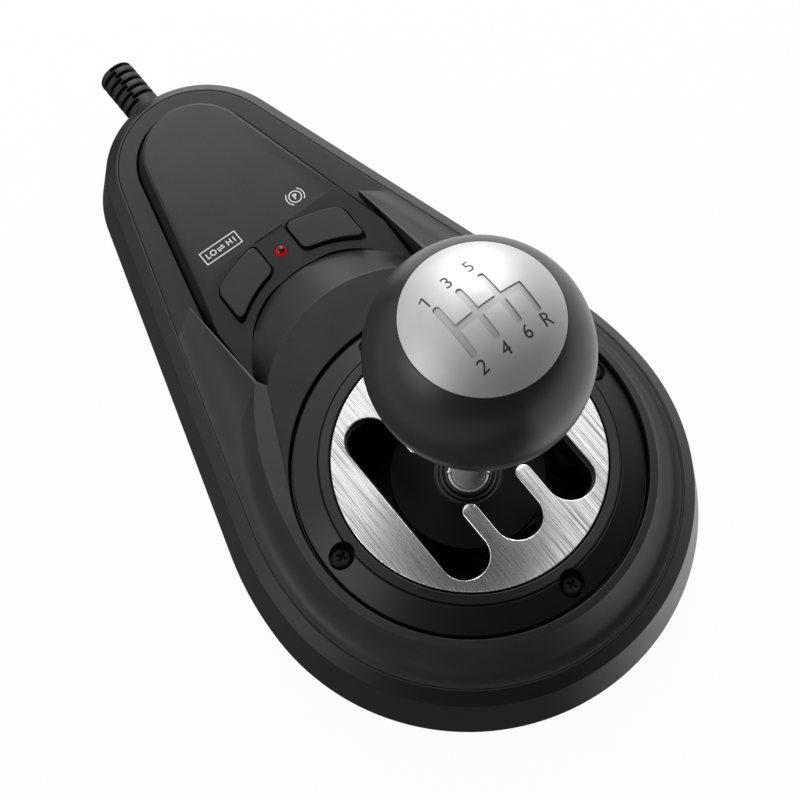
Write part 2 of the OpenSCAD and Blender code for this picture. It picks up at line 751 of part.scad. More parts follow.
module bracket_solid() {
  floor_z = pivot_drop - tray_floor;
  difference() {
    union() {
      translate([-bracket_half_x, bracket_in_y, floor_z])
        cube([2 * bracket_half_x, bracket_t, bracket_top_h - floor_z - bracket_half_x]);
      along_y(bracket_in_y, bracket_in_y + bracket_t, bracket_half_x, 0, bracket_top_h - bracket_half_x);
      translate([-bracket_foot_x, bracket_in_y, floor_z])
        cube([2 * bracket_foot_x, bracket_foot_len, bracket_foot_t]);
    }
    along_y(bracket_in_y - 1, bracket_in_y + bracket_t + 1, pin_r + running_gap);
    both_sides() translate([bracket_screw_x, bracket_screw_y, floor_z - 1])
      cylinder(r = screw_r + 0.1, h = bracket_foot_t + 2);
  }
}

module rear_bracket() color("#55585c") pivot_frame() bracket_solid();

module front_bracket() color("#55585c") pivot_frame() mirror([0, 1, 0]) bracket_solid();

module bracket_screws() color("silver") pivot_frame() fore_and_aft() both_sides()
  translate([bracket_screw_x, bracket_screw_y, pivot_drop - tray_floor + bracket_foot_t])
    pan_screw(pilot_r, bracket_screw_len, screw_head_r, screw_head_h);

module select_springs() color("#b8bcc2") pivot_frame() fore_and_aft()
  difference() {
    along_y(bracket_in_y + bracket_t, bracket_in_y + bracket_t + torsion_len, torsion_out_r);
    along_y(bracket_in_y, bracket_in_y + bracket_t + torsion_len + 1, torsion_in_r);
  }

module select_yoke() color("#8a8f96") pivot_frame()
  difference() {
    translate([-yoke_out_x, -yoke_out_y, -yoke_half_h])
      cube([2 * yoke_out_x, 2 * yoke_out_y, 2 * yoke_half_h]);
    translate([-yoke_in_x, -yoke_in_y, -yoke_half_h - 1])
      cube([2 * yoke_in_x, 2 * yoke_in_y, 2 * yoke_half_h + 2]);
    along_x(-yoke_out_x - 1, yoke_out_x + 1, pin_r);
    fore_and_aft() along_y(pin_start_y, yoke_out_y + 1, pin_r);
    both_sides() along_x(yoke_in_x - 1, yoke_out_x - 0.3, ball_bore_r, ball_y);
  }

module select_pins() color("#c6c9cd") pivot_frame() fore_and_aft()
  along_y(pin_start_y, pin_end_y, pin_r);

module shift_axle() color("#c6c9cd") pivot_frame() along_x(-axle_half, axle_half, pin_r);

module detent_balls() color("#dfe2e6") pivot_frame() both_sides()
  translate([ball_x, ball_y, 0]) sphere(ball_r, $fn = fine);

module detent_springs() color("#b8bcc2") pivot_frame() both_sides()
  difference() {
    along_x(ball_x + ball_r, ball_x + ball_r + detent_spring_len, ball_r - 0.1, ball_y);
    along_x(ball_x, ball_x + ball_r + detent_spring_len + 1, ball_r - 0.5, ball_y);
  }

module lever_block() color("#2f3133") pivot_frame()
  difference() {
    union() {
      intersection() {
        translate([-block_half_x, -block_half_y, -block_foot_r])
          cube([2 * block_half_x, 2 * block_half_y, block_foot_r]);
        sphere(block_foot_r);
      }
      translate([-block_half_x, -block_half_y, -eps])
        cube([2 * block_half_x, 2 * block_half_y, block_shoulder_h + 2 * eps]);
      translate([0, 0, block_shoulder_h]) cylinder(r = block_neck_r, h = block_top_h - block_shoulder_h);
    }
    along_x(-block_half_x - 2, block_half_x + 2, pin_r + running_gap);
    translate([0, 0, spring_seat_h]) cylinder(r = stem_r + running_gap, h = block_top_h);
    translate([0, 0, -block_foot_r - 1]) cylinder(r = magnet_r, h = magnet_t + 1);
  }

module lever_magnet() color("#777b80") pivot_frame()
  translate([0, 0, -block_foot_r + 0.4]) cylinder(r = magnet_r, h = magnet_t - 0.4);

// A plate that moves with the stem and hides the works below the gate, with a ringed collar round the stem
module dust_plate() color("#191919") pivot_frame() translate([0, 0, dust_h]) {
  bore_r = stem_r + 0.3;
  ring_w = (collar_r - bore_r) / collar_rings;
  difference() {
    cylinder(r = dust_r, h = dust_t);
    translate([0, 0, -1]) cylinder(r = bore_r, h = dust_t + 2);
  }
  for (k = [0:collar_rings - 1]) {
    top = collar_h * (1 - 0.7 * k / collar_rings);
    rotate_extrude() translate([bore_r + ring_w * (k + 0.4), dust_t - 0.3]) square([ring_w * 0.6, 0.3 + top]);
  }
}

module press_spring() color("#b8bcc2") pivot_frame() translate([0, 0, spring_seat_h])
  difference() {
    cylinder(r = stem_r - spring_play, h = press_spring_len);
    translate([0, 0, -1]) cylinder(r = stem_r - spring_play - 2 * spring_wire, h = press_spring_len + 2);
  }

module shift_stem() color("#d4d6d9") turret_frame()
  post(stem_r, pivot_drop - stem_foot_h, -stem_top);

module knob_insert() color("goldenrod") turret_frame()
  translate([0, 0, knob_h - knob_flat_h]) difference() {
    cylinder(r = insert_knob_r, h = insert_knob_len);
    translate([0, 0, -1]) cylinder(r = stem_r, h = insert_knob_len);
  }

module knob_body() color("#262627") turret_frame() translate([0, 0, knob_h])
  difference() {
    sphere(knob_r);
    translate([0, 0, cap_seat]) cylinder(r = cap_r + cap_gap, h = knob_r);
    translate([0, 0, -knob_r - knob_flat_h]) cylinder(r = knob_r, h = knob_r);
    translate([0, 0, -knob_flat_h - 1]) cylinder(r = insert_knob_r, h = insert_knob_len + 1);
  }

module knob_cap() color("#b9bbbe") turret_frame() translate([0, 0, knob_h])
  intersection() {
    sphere(knob_r);
    translate([0, 0, cap_seat]) cylinder(r = cap_r, h = knob_r);
  }

module main_board() color("#1f5a36") turret_frame()
  difference() {
    translate([-main_board_w / 2, main_board_front, -main_board_drop])
      cube([main_board_w, main_board_len, board_t]);
    for (at = board_screw_places())
      post(board_screw_r + 0.1, main_board_drop + 1, main_board_drop - board_t - 1, at);
  }

module board_parts() color("#232323") turret_frame()
  translate([0, main_board_front, -main_board_drop + board_t]) {
    translate([-processor_w / 2, main_board_len / 3, 0]) cube([processor_w, processor_w, processor_t]);
    translate([-socket_w / 2, main_board_len - 1.2 * socket_len, 0]) cube([socket_w, socket_len, socket_h]);
    translate([-main_board_w * 0.4, main_board_len * 0.42, 0]) cube([crystal_w, 2 * crystal_w, crystal_h]);
    translate([main_board_w * 0.24, main_board_len * 0.39, 0]) cylinder(r = capacitor_r, h = capacitor_h);
  }

module board_screws() color("silver") turret_frame()
  for (at = board_screw_places()) translate([at[0], at[1], -main_board_drop + board_t])
    pan_screw(board_screw_r, board_t + board_screw_grip, 2 * board_screw_r, board_screw_head_h);

module sensor_board() color("#1f5a36") turret_frame()
  translate([-sensor_w / 2, -sensor_l / 2, -tray_floor]) cube([sensor_w, sensor_l, sensor_t]);

module sensor_chip() color("#222222") turret_frame()
  translate([-chip_w / 2, -chip_w / 2, -tray_floor + sensor_t]) cube([chip_w, chip_w, chip_t]);

// A rubber sleeve with a cable bore; its slots run half-way round and alternate from side to side
module strain_relief() color("#1a1a1a") turret_frame() {
  slot_start = relief_end - relief_out;
  difference() {
    union() {
      translate([-relief_flange_x, relief_seat_y - relief_flange_t, -relief_band])
        cube([2 * relief_flange_x, relief_flange_t, relief_band - relief_shelf]);
      along_y(relief_seat_y - eps, relief_end, relief_r, 0, -relief_drop);
    }
    along_y(relief_seat_y - relief_flange_t - 1, relief_end + 1, cable_r, 0, -relief_drop);
    for (k = [0:relief_slots - 1], side = [0, 1]) {
      slot_y = slot_start + relief_pitch * (k + 0.5 + side / 2);
      translate([0, slot_y, -relief_drop]) rotate([0, side * 180, 0]) relief_slot();
    }
  }
}

module relief_slot()
  intersection() {
    difference() {
      along_y(-relief_slot_w / 2, relief_slot_w / 2, relief_r + 1);
      along_y(-relief_slot_w, relief_slot_w, relief_core_r);
    }
    translate([0.6, -relief_slot_w, -relief_r - 1]) cube([relief_r + 2, 2 * relief_slot_w, 2 * relief_r + 2]);
  }

skirt_shell();
upper_housing();
deck_panel();
bottom_tray();
rubber_feet();
tray_screws();
threaded_inserts();
bezel_ring();
bezel_screws();
gate_plate();
gate_frame();
front_bracket();
rear_bracket();
bracket_screws();
select_springs();
select_yoke();
select_pins();
shift_axle();
detent_balls();
detent_springs();
lever_block();
lever_magnet();
dust_plate();
press_spring();
shift_stem();
knob_insert();
knob_body();
knob_cap();
range_button();
brake_button();
button_board();
tact_switches();
button_board_screws();
indicator_light();
main_board();
board_parts();
board_screws();
sensor_board();
sensor_chip();
strain_relief();
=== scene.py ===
"""Looks of a desktop H-pattern gear shifter, dressed over its packed construction frame.

Pieces are modelled in millimetres about the lever's axis, with height 0 on the gate plate's top face.
Placing a piece takes it to metres in the frame. Heights below the gate plate are negative.
"""

import logging
import math
from contextlib import contextmanager
from dataclasses import dataclass
from enum import Enum
from typing import Callable, Iterator, Sequence, Union

import bpy
from mathutils import Matrix, Vector


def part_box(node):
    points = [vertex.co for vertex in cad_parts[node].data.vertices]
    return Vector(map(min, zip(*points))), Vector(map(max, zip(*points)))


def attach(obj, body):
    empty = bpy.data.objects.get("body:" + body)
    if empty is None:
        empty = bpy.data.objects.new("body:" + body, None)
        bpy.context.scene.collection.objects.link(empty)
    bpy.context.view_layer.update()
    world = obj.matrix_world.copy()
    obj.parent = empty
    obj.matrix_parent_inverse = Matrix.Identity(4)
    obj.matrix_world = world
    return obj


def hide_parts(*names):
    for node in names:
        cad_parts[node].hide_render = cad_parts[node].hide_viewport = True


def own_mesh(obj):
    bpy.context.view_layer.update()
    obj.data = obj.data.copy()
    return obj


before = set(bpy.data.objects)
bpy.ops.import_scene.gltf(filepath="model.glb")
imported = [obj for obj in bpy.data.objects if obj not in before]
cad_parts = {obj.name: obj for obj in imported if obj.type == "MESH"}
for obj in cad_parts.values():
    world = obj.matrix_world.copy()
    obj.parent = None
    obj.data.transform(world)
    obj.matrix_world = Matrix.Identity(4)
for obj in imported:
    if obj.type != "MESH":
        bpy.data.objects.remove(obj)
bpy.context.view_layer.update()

LOG = logging.getLogger("gear_shifter")
MM = 0.001
WELD = 0.0005

Point = tuple[float, float]
Corner = tuple[float, float, float]
Loop = list[Point]
Colour = tuple[float, float, float]


def mix(a: float, b: float, t: float) -> float:
    """Return the value a share t of the way from a to b."""
    return a + (b - a) * t


def mix_points(a: Point, b: Point, t: float) -> Point:
    """Return the point a share t of the way from a to b."""
    return mix(a[0], b[0], t), mix(a[1], b[1], t)


def polar(radius: float, degrees: float, centre: Point = (0.0, 0.0)) -> Point:
    """Return the point at an angle on a circle."""
    turn = math.radians(degrees)
    return centre[0] + radius * math.cos(turn), centre[1] + radius * math.sin(turn)


def bezier(points: Sequence[Point], t: float) -> Point:
    """Return the point a share t along the curve that control points give."""
    while len(points) > 1:
        points = [mix_points(a, b, t) for a, b in zip(points, points[1:])]
    return points[0]


def on_legs(marks: Sequence[Point], s: float) -> Point:
    """Return the point at a distance along two straight legs.

    Args:
        marks: The start, the bend and the end.
        s: Distance from the start.

    Returns:
        The point.
    """
    first, second = math.dist(marks[0], marks[1]), math.dist(marks[1], marks[2])
    if s < first:
        return mix_points(marks[0], marks[1], s / first)
    return mix_points(marks[1], marks[2], (s - first) / second)


def arc(radius: float, start: float, end: float, centre: Point = (0.0, 0.0), steps: int = 24) -> Loop:
    """Return points along an arc, both ends included.

    Args:
        radius: The arc's radius.
        start: Angle of the first point, in degrees.
        end: Angle of the last point, in degrees.
        centre: The arc's centre.
        steps: Number of chords.

    Returns:
        The points in order.
    """
    return [polar(radius, mix(start, end, i / steps), centre) for i in range(steps + 1)]


def ring(radius: float, centre: Point = (0.0, 0.0), steps: int = 96) -> Loop:
    """Return the points of a full circle."""
    return arc(radius, 0, 360, centre, steps)[:-1]


def teardrop(front: float, tail: float, reach: float, swell: float = 0.0, steps: int = 72) -> Loop:
    """Return a teardrop: a front arc about the lever's axis and a rear arc, joined by their tangents.

    Args:
        front: Radius of the front arc.
        tail: Radius of the rear arc.
        reach: Distance between the arcs' centres.
        swell: How much larger the arcs are that lead from the front arc to the straight sides.
        steps: Chords in each end's arc.

    Returns:
        The closed outline, counter-clockwise from the rear arc's right end.
    """
    wide = front + swell
    lean = side_lean(front, tail, reach, swell)
    left, right = arc(wide, 180 - lean, 180, (swell, 0.0), 16), arc(wide, 0, lean, (-swell, 0.0), 16)
    rear, bow = arc(tail, lean, 180 - lean, (0.0, reach), steps), arc(front, 180, 360, steps=steps)
    return rear + left[:-1] + bow + right[1:]


def side_lean(front: float, tail: float, reach: float, swell: float) -> float:
    """Return the lean of a teardrop's straight sides, in degrees."""
    off = math.acos((front + swell - tail) / math.hypot(swell, reach))
    return math.degrees(math.atan2(reach, swell) - off)


def rounded(corners: Sequence[Corner], closed: bool = False, steps: int = 5) -> Loop:
    """Round the corners of a path.

    Args:
        corners: Points with a radius each; a radius of 0 keeps the corner sharp.
        closed: Whether the path runs back to its first corner.
        steps: Chords in each rounded corner.

    Returns:
        The path's points.
    """
    path: Loop = []
    count = len(corners)
    for i, (x, y, radius) in enumerate(corners):
        here = Vector((x, y))
        if radius <= 0 or (not closed and i in (0, count - 1)):
            path.append((x, y))
            continue
        before = Vector(corners[i - 1][:2]) - here
        after = Vector(corners[(i + 1) % count][:2]) - here
        half = before.angle(after) / 2
        reach = min(radius / math.tan(half), 0.49 * before.length, 0.49 * after.length)
        before.normalize()
        after.normalize()
        centre = here + (before + after).normalized() * (reach / math.cos(half))
        first = here + before * reach - centre
        last = here + after * reach - centre
        start = math.atan2(first.y, first.x)
        swing = (math.atan2(last.y, last.x) - start + math.pi) % math.tau - math.pi
        path += arc(first.length, math.degrees(start), math.degrees(start + swing), tuple(centre), steps)
    return path


class Value:
    """A number that varies over a surface. Arithmetic on it adds Math nodes to its tree."""

    def __init__(self, tree: "Tree", socket: bpy.types.NodeSocket) -> None:
        """Wrap one output socket of a tree."""
        self.tree = tree
        self.socket = socket

    def _math(self, operation: str, first: "Operand", second: "Operand") -> "Value":
        """Add one Math node and return its result."""
        node = self.tree.node("ShaderNodeMath", {"operation": operation}, {0: first, 1: second})
        return Value(self.tree, node.outputs[0])

    def __add__(self, other: "Operand") -> "Value":
        """Return the sum."""
        return self._math("ADD", self, other)

    __radd__ = __add__

    def __sub__(self, other: "Operand") -> "Value":
        """Return this value less another."""
        return self._math("SUBTRACT", self, other)

    def __rsub__(self, other: "Operand") -> "Value":
        """Return another value less this one."""
        return self._math("SUBTRACT", other, self)

    def __mul__(self, other: "Operand") -> "Value":
        """Return the product."""
        return self._math("MULTIPLY", self, other)

    __rmul__ = __mul__

    def larger(self, other: "Operand") -> "Value":
        """Return the larger of two values."""
        return self._math("MAXIMUM", self, other)


Operand = Union[Value, float]
Feed = Union[Value, bpy.types.NodeSocket, float, Sequence[float]]


class Tree:
    """The nodes of a material or of the world."""

    def __init__(self, owner: bpy.types.Material | bpy.types.World) -> None:
        """Switch the owner's nodes on."""
        owner.use_nodes = True
        self.nodes, self.links = owner.node_tree.nodes, owner.node_tree.links

    def node(self, kind: str, settings: dict | None = None, sockets: dict | None = None) -> bpy.types.Node:
        """Add a node.

        Args:
            kind: Blender's type name of the node.
            settings: Properties to set first.
            sockets: Values or links of the inputs, by name or number.

        Returns:
            The new node.
        """
        node = self.nodes.new(kind)
        for key, value in (settings or {}).items():
            setattr(node, key, value)
        for key, value in (sockets or {}).items():
            self.feed(node.inputs[key], value)
        return node

    def feed(self, socket: bpy.types.NodeSocket, value: Feed) -> None:
        """Link a value or a socket to an input, or set the input's constant."""
        if isinstance(value, Value):
            self.links.new(value.socket, socket)
        elif isinstance(value, bpy.types.NodeSocket):
            self.links.new(value, socket)
        else:
            socket.default_value = value

    def own(self) -> bpy.types.NodeSocket:
        """Return the piece's own coordinates."""
        return self.node("ShaderNodeTexCoord").outputs["Object"]

    def place(self, scale: Sequence[float] = (1, 1, 1),
              centre: Sequence[float] = (0, 0, 0)) -> bpy.types.NodeSocket:
        """Return the piece's own coordinates, moved to a centre and then stretched."""
        moved = self.node("ShaderNodeVectorMath", {"operation": "SUBTRACT"}, {0: self.own(), 1: centre})
        return self.node("ShaderNodeVectorMath", {"operation": "MULTIPLY"},
                         {0: moved.outputs[0], 1: scale}).outputs[0]

    def noise(self, place: bpy.types.NodeSocket, size: float, detail: float = 2.0) -> Value:
        """Return cloudy noise whose features are about a size in millimetres across."""
        node = self.node("ShaderNodeTexNoise", {},
                         {"Vector": place, "Scale": 1 / (size * MM), "Detail": detail})
        return Value(self, node.outputs["Fac"])

    def span(self, value: Value, low: float, high: float, start: float = 0.0, end: float = 1.0) -> Value:
        """Return a value spread so that low becomes the start and high the end, with soft ends.

        Args:
            value: The value.
            low: Where the spread starts.
            high: Where it ends.
            start: What low becomes.
            end: What high becomes.

        Returns:
            The spread value.
        """
        node = self.node("ShaderNodeMapRange", {"interpolation_type": "SMOOTHSTEP"}, {
            "Value": value, "From Min": low, "From Max": high, "To Min": start, "To Max": end})
        return Value(self, node.outputs["Result"])

    def blend(self, share: Value, first: Feed, second: Feed) -> bpy.types.NodeSocket:
        """Return a colour between two colours."""
        first_socket, second_socket, result = 6, 7, 2
        node = self.node("ShaderNodeMix", {"data_type": "RGBA"},
                         {0: share, first_socket: _opaque(first), second_socket: _opaque(second)})
        return node.outputs[result]

    def relief(self, height: Value, depth: float) -> bpy.types.NodeSocket:
        """Return a normal bumped by a height of at most a depth in millimetres."""
        node = self.node("ShaderNodeBump", {}, {"Strength": 1.0, "Distance": depth * MM, "Height": height})
        return node.outputs["Normal"]


class FinishTree(Tree):
    """The node tree of one material, built round a Principled shader."""

    def __init__(self, name: str) -> None:
        """Start a material with an empty Principled shader."""
        self.material = bpy.data.materials.new(name)
        super().__init__(self.material)
        self.shader = self.nodes["Principled BSDF"]

    def dress(self, sockets: dict[str, Feed]) -> bpy.types.Material:
        """Feed the shader's sockets and return the finished material."""
        for name, value in sockets.items():
            self.feed(self.shader.inputs[name], value)
        return self.material


def _opaque(colour: Feed) -> Feed:
    """Give a plain colour its fourth number, and pass anything else on."""
    return (*colour, 1.0) if isinstance(colour, tuple) else colour


def tint(colour: Colour, share: float) -> Colour:
    """Return a colour made lighter or darker by a share."""
    return tuple(channel * share for channel in colour)


@dataclass(frozen=True)
class Finish:
    """What a surface is made of: its main colour and how rough it is."""

    name: str
    colour: Colour
    roughness: float

    def material(self) -> bpy.types.Material:
        """Return the finish's material, built on first use."""
        return bpy.data.materials.get(self.name) or self.build()

    def build(self) -> bpy.types.Material:
        """Build the material's nodes."""
        raise NotImplementedError


@dataclass(frozen=True)
class MouldedPlastic(Finish):
    """Moulded plastic or rubber with a fine spark-eroded grain."""

    grain: float = 0.45
    depth: float = 0.010
    specular: float = 0.5
    cloud: float = 0.10

    def build(self) -> bpy.types.Material:
        """Build the grain, the faint clouding of the colour and the uneven gloss."""
        tree = FinishTree(self.name)
        place = tree.place()
        grain = tree.noise(place, self.grain, 3.0)
        cloud = tree.noise(place, 9.0, 3.0)
        shade = tree.span(grain * 0.45 + cloud * 0.55, 0.3, 0.7)
        deep, pale = tint(self.colour, 1 - self.cloud), tint(self.colour, 1 + self.cloud)
        return tree.dress({
            "Base Color": tree.blend(shade, deep, pale),
            "Roughness": self.roughness + (cloud - 0.5) * 0.10 + (grain - 0.5) * 0.08,
            "Normal": tree.relief(grain, self.depth),
            "Specular IOR Level": self.specular,
        })


@dataclass(frozen=True)
class BrushedMetal(Finish):
    """Metal brushed in one direction, with fine hair lines and broader streaks."""

    dark: Colour = (0.20, 0.20, 0.205)
    hair: float = 0.13
    length: float = 70.0

    def build(self) -> bpy.types.Material:
        """Build hair lines that run along Y."""
        tree = FinishTree(self.name)
        fine = tree.noise(tree.place((1, self.hair / self.length * 4, 1)), self.hair, 4.0)
        broad = tree.noise(tree.place((1, 0.03, 1)), 0.9, 3.0)
        streak = tree.span(fine * 0.8 + broad * 0.2, 0.38, 0.58)
        return tree.dress({
            "Base Color": tree.blend(streak, self.dark, self.colour),
            "Roughness": self.roughness + (1 - streak) * 0.16,
            "Normal": tree.relief(fine, 0.006),
            "Metallic": 1.0,
        })


@dataclass(frozen=True)
class SatinMetal(Finish):
    """Metal with an even blasted, turned or plated surface."""

    grain: float = 0.25
    depth: float = 0.002
    metallic: float = 1.0

    def build(self) -> bpy.types.Material:
        """Build a fine blasted grain with a slow change of tone."""
        tree = FinishTree(self.name)
        place = tree.place()
        grain = tree.noise(place, self.grain, 2.0)
        cloud = tree.noise(place, 7.0, 2.0)
        shade = tree.span(grain * 0.5 + cloud * 0.5, 0.3, 0.7)
        return tree.dress({
            "Base Color": tree.blend(shade, tint(self.colour, 0.93), tint(self.colour, 1.05)),
            "Roughness": self.roughness + (grain - 0.5) * 0.10,
            "Normal": tree.relief(grain, self.depth),
            "Metallic": self.metallic,
        })


@dataclass(frozen=True)
class Ink(Finish):
    """Screen-printed ink, a little uneven where the screen's mesh shows."""

    def build(self) -> bpy.types.Material:
        """Build the ink's faint screen pattern."""
        tree = FinishTree(self.name)
        mesh = tree.noise(tree.place(), 0.12, 1.0)
        return tree.dress({
            "Base Color": tree.blend(tree.span(mesh, 0.3, 0.6), tint(self.colour, 0.86), self.colour),
            "Roughness": self.roughness + (mesh - 0.5) * 0.12,
        })


@dataclass(frozen=True)
class PaintedLightLens(Finish):
    """A tinted clear lens with painted light: its rim is painted bright and glows, and its middle is painted
    dark, a painted dark reflection.
    """

    centre: tuple[float, float, float] = (0.0, 0.0, 0.0)
    radius: float = 1.5
    core: Colour = (0.02, 0.0, 0.0)

    def build(self) -> bpy.types.Material:
        """Build the painted dark middle, the painted bright rim, the painted glow and the lens's gloss."""
        tree = FinishTree(self.name)
        off = tree.node("ShaderNodeVectorMath", {"operation": "LENGTH"},
                        {0: tree.place((1, 1, 0), self.centre)})
        # painted light: the colour runs from a painted dark middle to a painted bright rim
        out = tree.span(Value(tree, off.outputs["Value"]), 0.60 * self.radius * MM, 0.82 * self.radius * MM)
        speck = tree.noise(tree.place(), 0.3, 1.0)
        colour = tree.blend(out, self.core, self.colour)
        return tree.dress({
            "Base Color": colour,
            "Emission Color": colour,
            # painted glow: the lens is no lamp, yet it glows in its own colour
            "Emission Strength": 0.35,
            "Roughness": self.roughness + speck * 0.03,
            "Specular IOR Level": 0.35,
        })


@dataclass(frozen=True)
class SolderMask(Finish):
    """A circuit board: copper tracks that show through the mask."""

    track: Colour = (0.05, 0.26, 0.10)

    def build(self) -> bpy.types.Material:
        """Build the tracks as a brick pattern under the mask."""
        tree = FinishTree(self.name)
        bricks = tree.node("ShaderNodeTexBrick", {}, {
            "Vector": tree.place(), "Scale": 260.0, "Mortar Size": 0.09, "Mortar Smooth": 0.3})
        tracks = Value(tree, bricks.outputs["Fac"])
        cloud = tree.noise(tree.place(), 2.0, 2.0)
        return tree.dress({
            "Base Color": tree.blend(tracks * (0.6 + cloud * 0.4), self.colour, self.track),
            "Roughness": self.roughness + cloud * 0.1,
            "Normal": tree.relief(tracks, 0.03),
        })


class Cut(Enum):
    """How one workpiece is combined with another."""

    AWAY = "DIFFERENCE"
    JOIN = "UNION"
    COMMON = "INTERSECT"


def activate(obj: bpy.types.Object) -> None:
    """Select one object alone and make it active."""
    bpy.ops.object.select_all(action="DESELECT")
    obj.select_set(True)
    bpy.context.view_layer.objects.active = obj


@contextmanager
def editing(obj: bpy.types.Object) -> Iterator[None]:
    """Open an object in edit mode with all of its vertices selected."""
    activate(obj)
    bpy.ops.object.mode_set(mode="EDIT")
    bpy.ops.mesh.select_mode(type="VERT")
    bpy.ops.mesh.select_all(action="SELECT")
    yield
    bpy.ops.object.mode_set(mode="OBJECT")


class Workpiece:
    """A mesh on the bench, in millimetres about the lever's axis, until it is placed in the frame."""

    def __init__(self, name: str) -> None:
        """Take the object that was just added."""
        self.obj = bpy.context.object
        self.obj.name = name
        self.obj.data.name = name

    @classmethod
    def lathe(cls, name: str, profile: Sequence[Point], steps: int = 128) -> "Workpiece":
        """Spin a profile about Z.

        Args:
            name: The piece's name.
            profile: Points of radius and height; a profile that ends on its first point makes a ring.
            steps: Faces round the axis.

        Returns:
            The closed workpiece.
        """
        bpy.ops.object.select_all(action="DESELECT")
        bpy.ops.mesh.primitive_plane_add(size=1)
        piece = cls(name)
        with editing(piece.obj):
            bpy.ops.mesh.merge(type="CENTER")
            here = (0.0, 0.0)
            for i, (radius, height) in enumerate(profile):
                step = (radius - here[0], 0, height - here[1])
                if i == 0:
                    bpy.ops.transform.translate(value=step)
                else:
                    bpy.ops.mesh.extrude_region_move(TRANSFORM_OT_translate={"value": step})
                here = (radius, height)
            bpy.ops.mesh.select_all(action="SELECT")
            bpy.ops.mesh.spin(steps=steps, angle=math.tau, center=(0, 0, 0), axis=(0, 0, 1))
        return piece.closed()

    @classmethod
    def wrapped(cls, name: str, rows: int, columns: int,
                place: Callable[[int, int], Sequence[float]]) -> "Workpiece":
        """Wrap a grid over a shape given by a formula.

        Args:
            name: The piece's name.
            rows: Rows of points.
            columns: Points in a row.
            place: Gives the point of a row and a column.

        Returns:
            The workpiece, with coinciding points merged and open ends filled.
        """
        bpy.ops.object.select_all(action="DESELECT")
        bpy.ops.mesh.primitive_grid_add(x_subdivisions=columns - 1, y_subdivisions=rows - 1, size=1)
        piece = cls(name)
        for index, vertex in enumerate(piece.obj.data.vertices):
            vertex.co = place(index // columns, index % columns)
        return piece.closed(fill=True)

    @classmethod
    def plate(cls, name: str, loops: Sequence[Loop], low: float, high: float,
              edge: float = 0.0) -> "Workpiece":
        """Extrude flat outlines, the inner ones as holes, with rounded edges.

        Args:
            name: The piece's name.
            loops: Closed outlines.
            low: Height of the underside.
            high: Height of the top.
            edge: Radius of the rounded edges.

        Returns:
            The closed workpiece.
        """
        bpy.ops.object.select_all(action="DESELECT")
        bpy.ops.curve.primitive_bezier_circle_add()
        piece = cls(name)
        curve = piece.obj.data
        curve.splines.clear()
        curve.dimensions = "2D"
        curve.fill_mode = "BOTH"
        curve.extrude = (high - low) / 2 - edge
        curve.bevel_depth = edge
        curve.bevel_resolution = 2
        curve.offset = -edge
        for loop in loops:
            spline = curve.splines.new("POLY")
            spline.points.add(len(loop) - 1)
            spline.use_cyclic_u = True
            for point, (x, y) in zip(spline.points, loop):
                point.co = (x, y, 0, 1)
        return piece.as_mesh().moved((0, 0, (low + high) / 2)).closed()

    @classmethod
    def lettering(cls, name: str, words: str, size: float, at: Sequence[float], thick: float,
                  bold: float = 0.0) -> "Workpiece":
        """Set words as a mesh centred on a point, read along X.

        Args:
            name: The piece's name.
            words: The characters.
            size: Size of the type.
            at: Centre of the words.
            thick: Thickness of the letters.
            bold: How far the strokes are widened on each side.

        Returns:
            The closed workpiece.
        """
        bpy.ops.object.select_all(action="DESELECT")
        bpy.ops.object.text_add()
        piece = cls(name)
        text = piece.obj.data
        text.body = words
        text.size = size
        text.extrude = thick / 2
        text.offset = bold
        text.align_x = "CENTER"
        text.align_y = "CENTER"
        return piece.as_mesh().moved(at).closed()

    @classmethod
    def box(cls, name: str, low: Sequence[float], high: Sequence[float]) -> "Workpiece":
        """Start a block between two corners."""
        bpy.ops.object.select_all(action="DESELECT")
        middle = [(a + b) / 2 for a, b in zip(low, high)]
        bpy.ops.mesh.primitive_cube_add(size=1, location=middle, scale=[b - a for a, b in zip(low, high)])
        return cls(name).applied()

    @classmethod
    def rod(cls, name: str, radius: float, low: float, high: float, at: Point = (0.0, 0.0)) -> "Workpiece":
        """Start an upright rod between two heights."""
        bpy.ops.object.select_all(action="DESELECT")
        bpy.ops.mesh.primitive_cylinder_add(
            vertices=64, radius=radius, depth=high - low, location=(*at, (low + high) / 2))
        return cls(name).applied()

    @classmethod
    def coil(cls, name: str, radius: float, wire: float, length: float, turns: int) -> "Workpiece":
        """Wind a spring about Z, from height 0.

        Args:
            name: The piece's name.
            radius: Radius of the spring at the wire's middle.
            wire: Radius of the wire.
            length: Length of the spring.
            turns: Number of turns.

        Returns:
            The closed workpiece.
        """
        bpy.ops.object.select_all(action="DESELECT")
        bpy.ops.mesh.primitive_circle_add(
            vertices=10, radius=wire, location=(radius, 0, wire), rotation=(math.pi / 2, 0, 0))
        piece = cls(name).applied()
        screw = piece.obj.modifiers.new("wind", "SCREW")
        screw.screw_offset = (length - 2 * wire) / turns
        screw.iterations = turns
        screw.steps = 28
        screw.render_steps = 28
        return piece.with_modifier(screw).closed(fill=True)

    def as_mesh(self) -> "Workpiece":
        """Turn a curve or words into a mesh."""
        activate(self.obj)
        bpy.ops.object.convert(target="MESH")
        self.obj = bpy.context.object
        return self

    def applied(self) -> "Workpiece":
        """Put the object's place, turn and scale into its mesh."""
        activate(self.obj)
        bpy.ops.object.transform_apply(location=True, rotation=True, scale=True)
        return self

    def moved(self, by: Sequence[float], turn: Sequence[float] = (0, 0, 0)) -> "Workpiece":
        """Turn the piece about the origin, by angles in degrees, and then move it."""
        self.obj.rotation_euler = [math.radians(angle) for angle in turn]
        self.obj.location = by
        return self.applied()

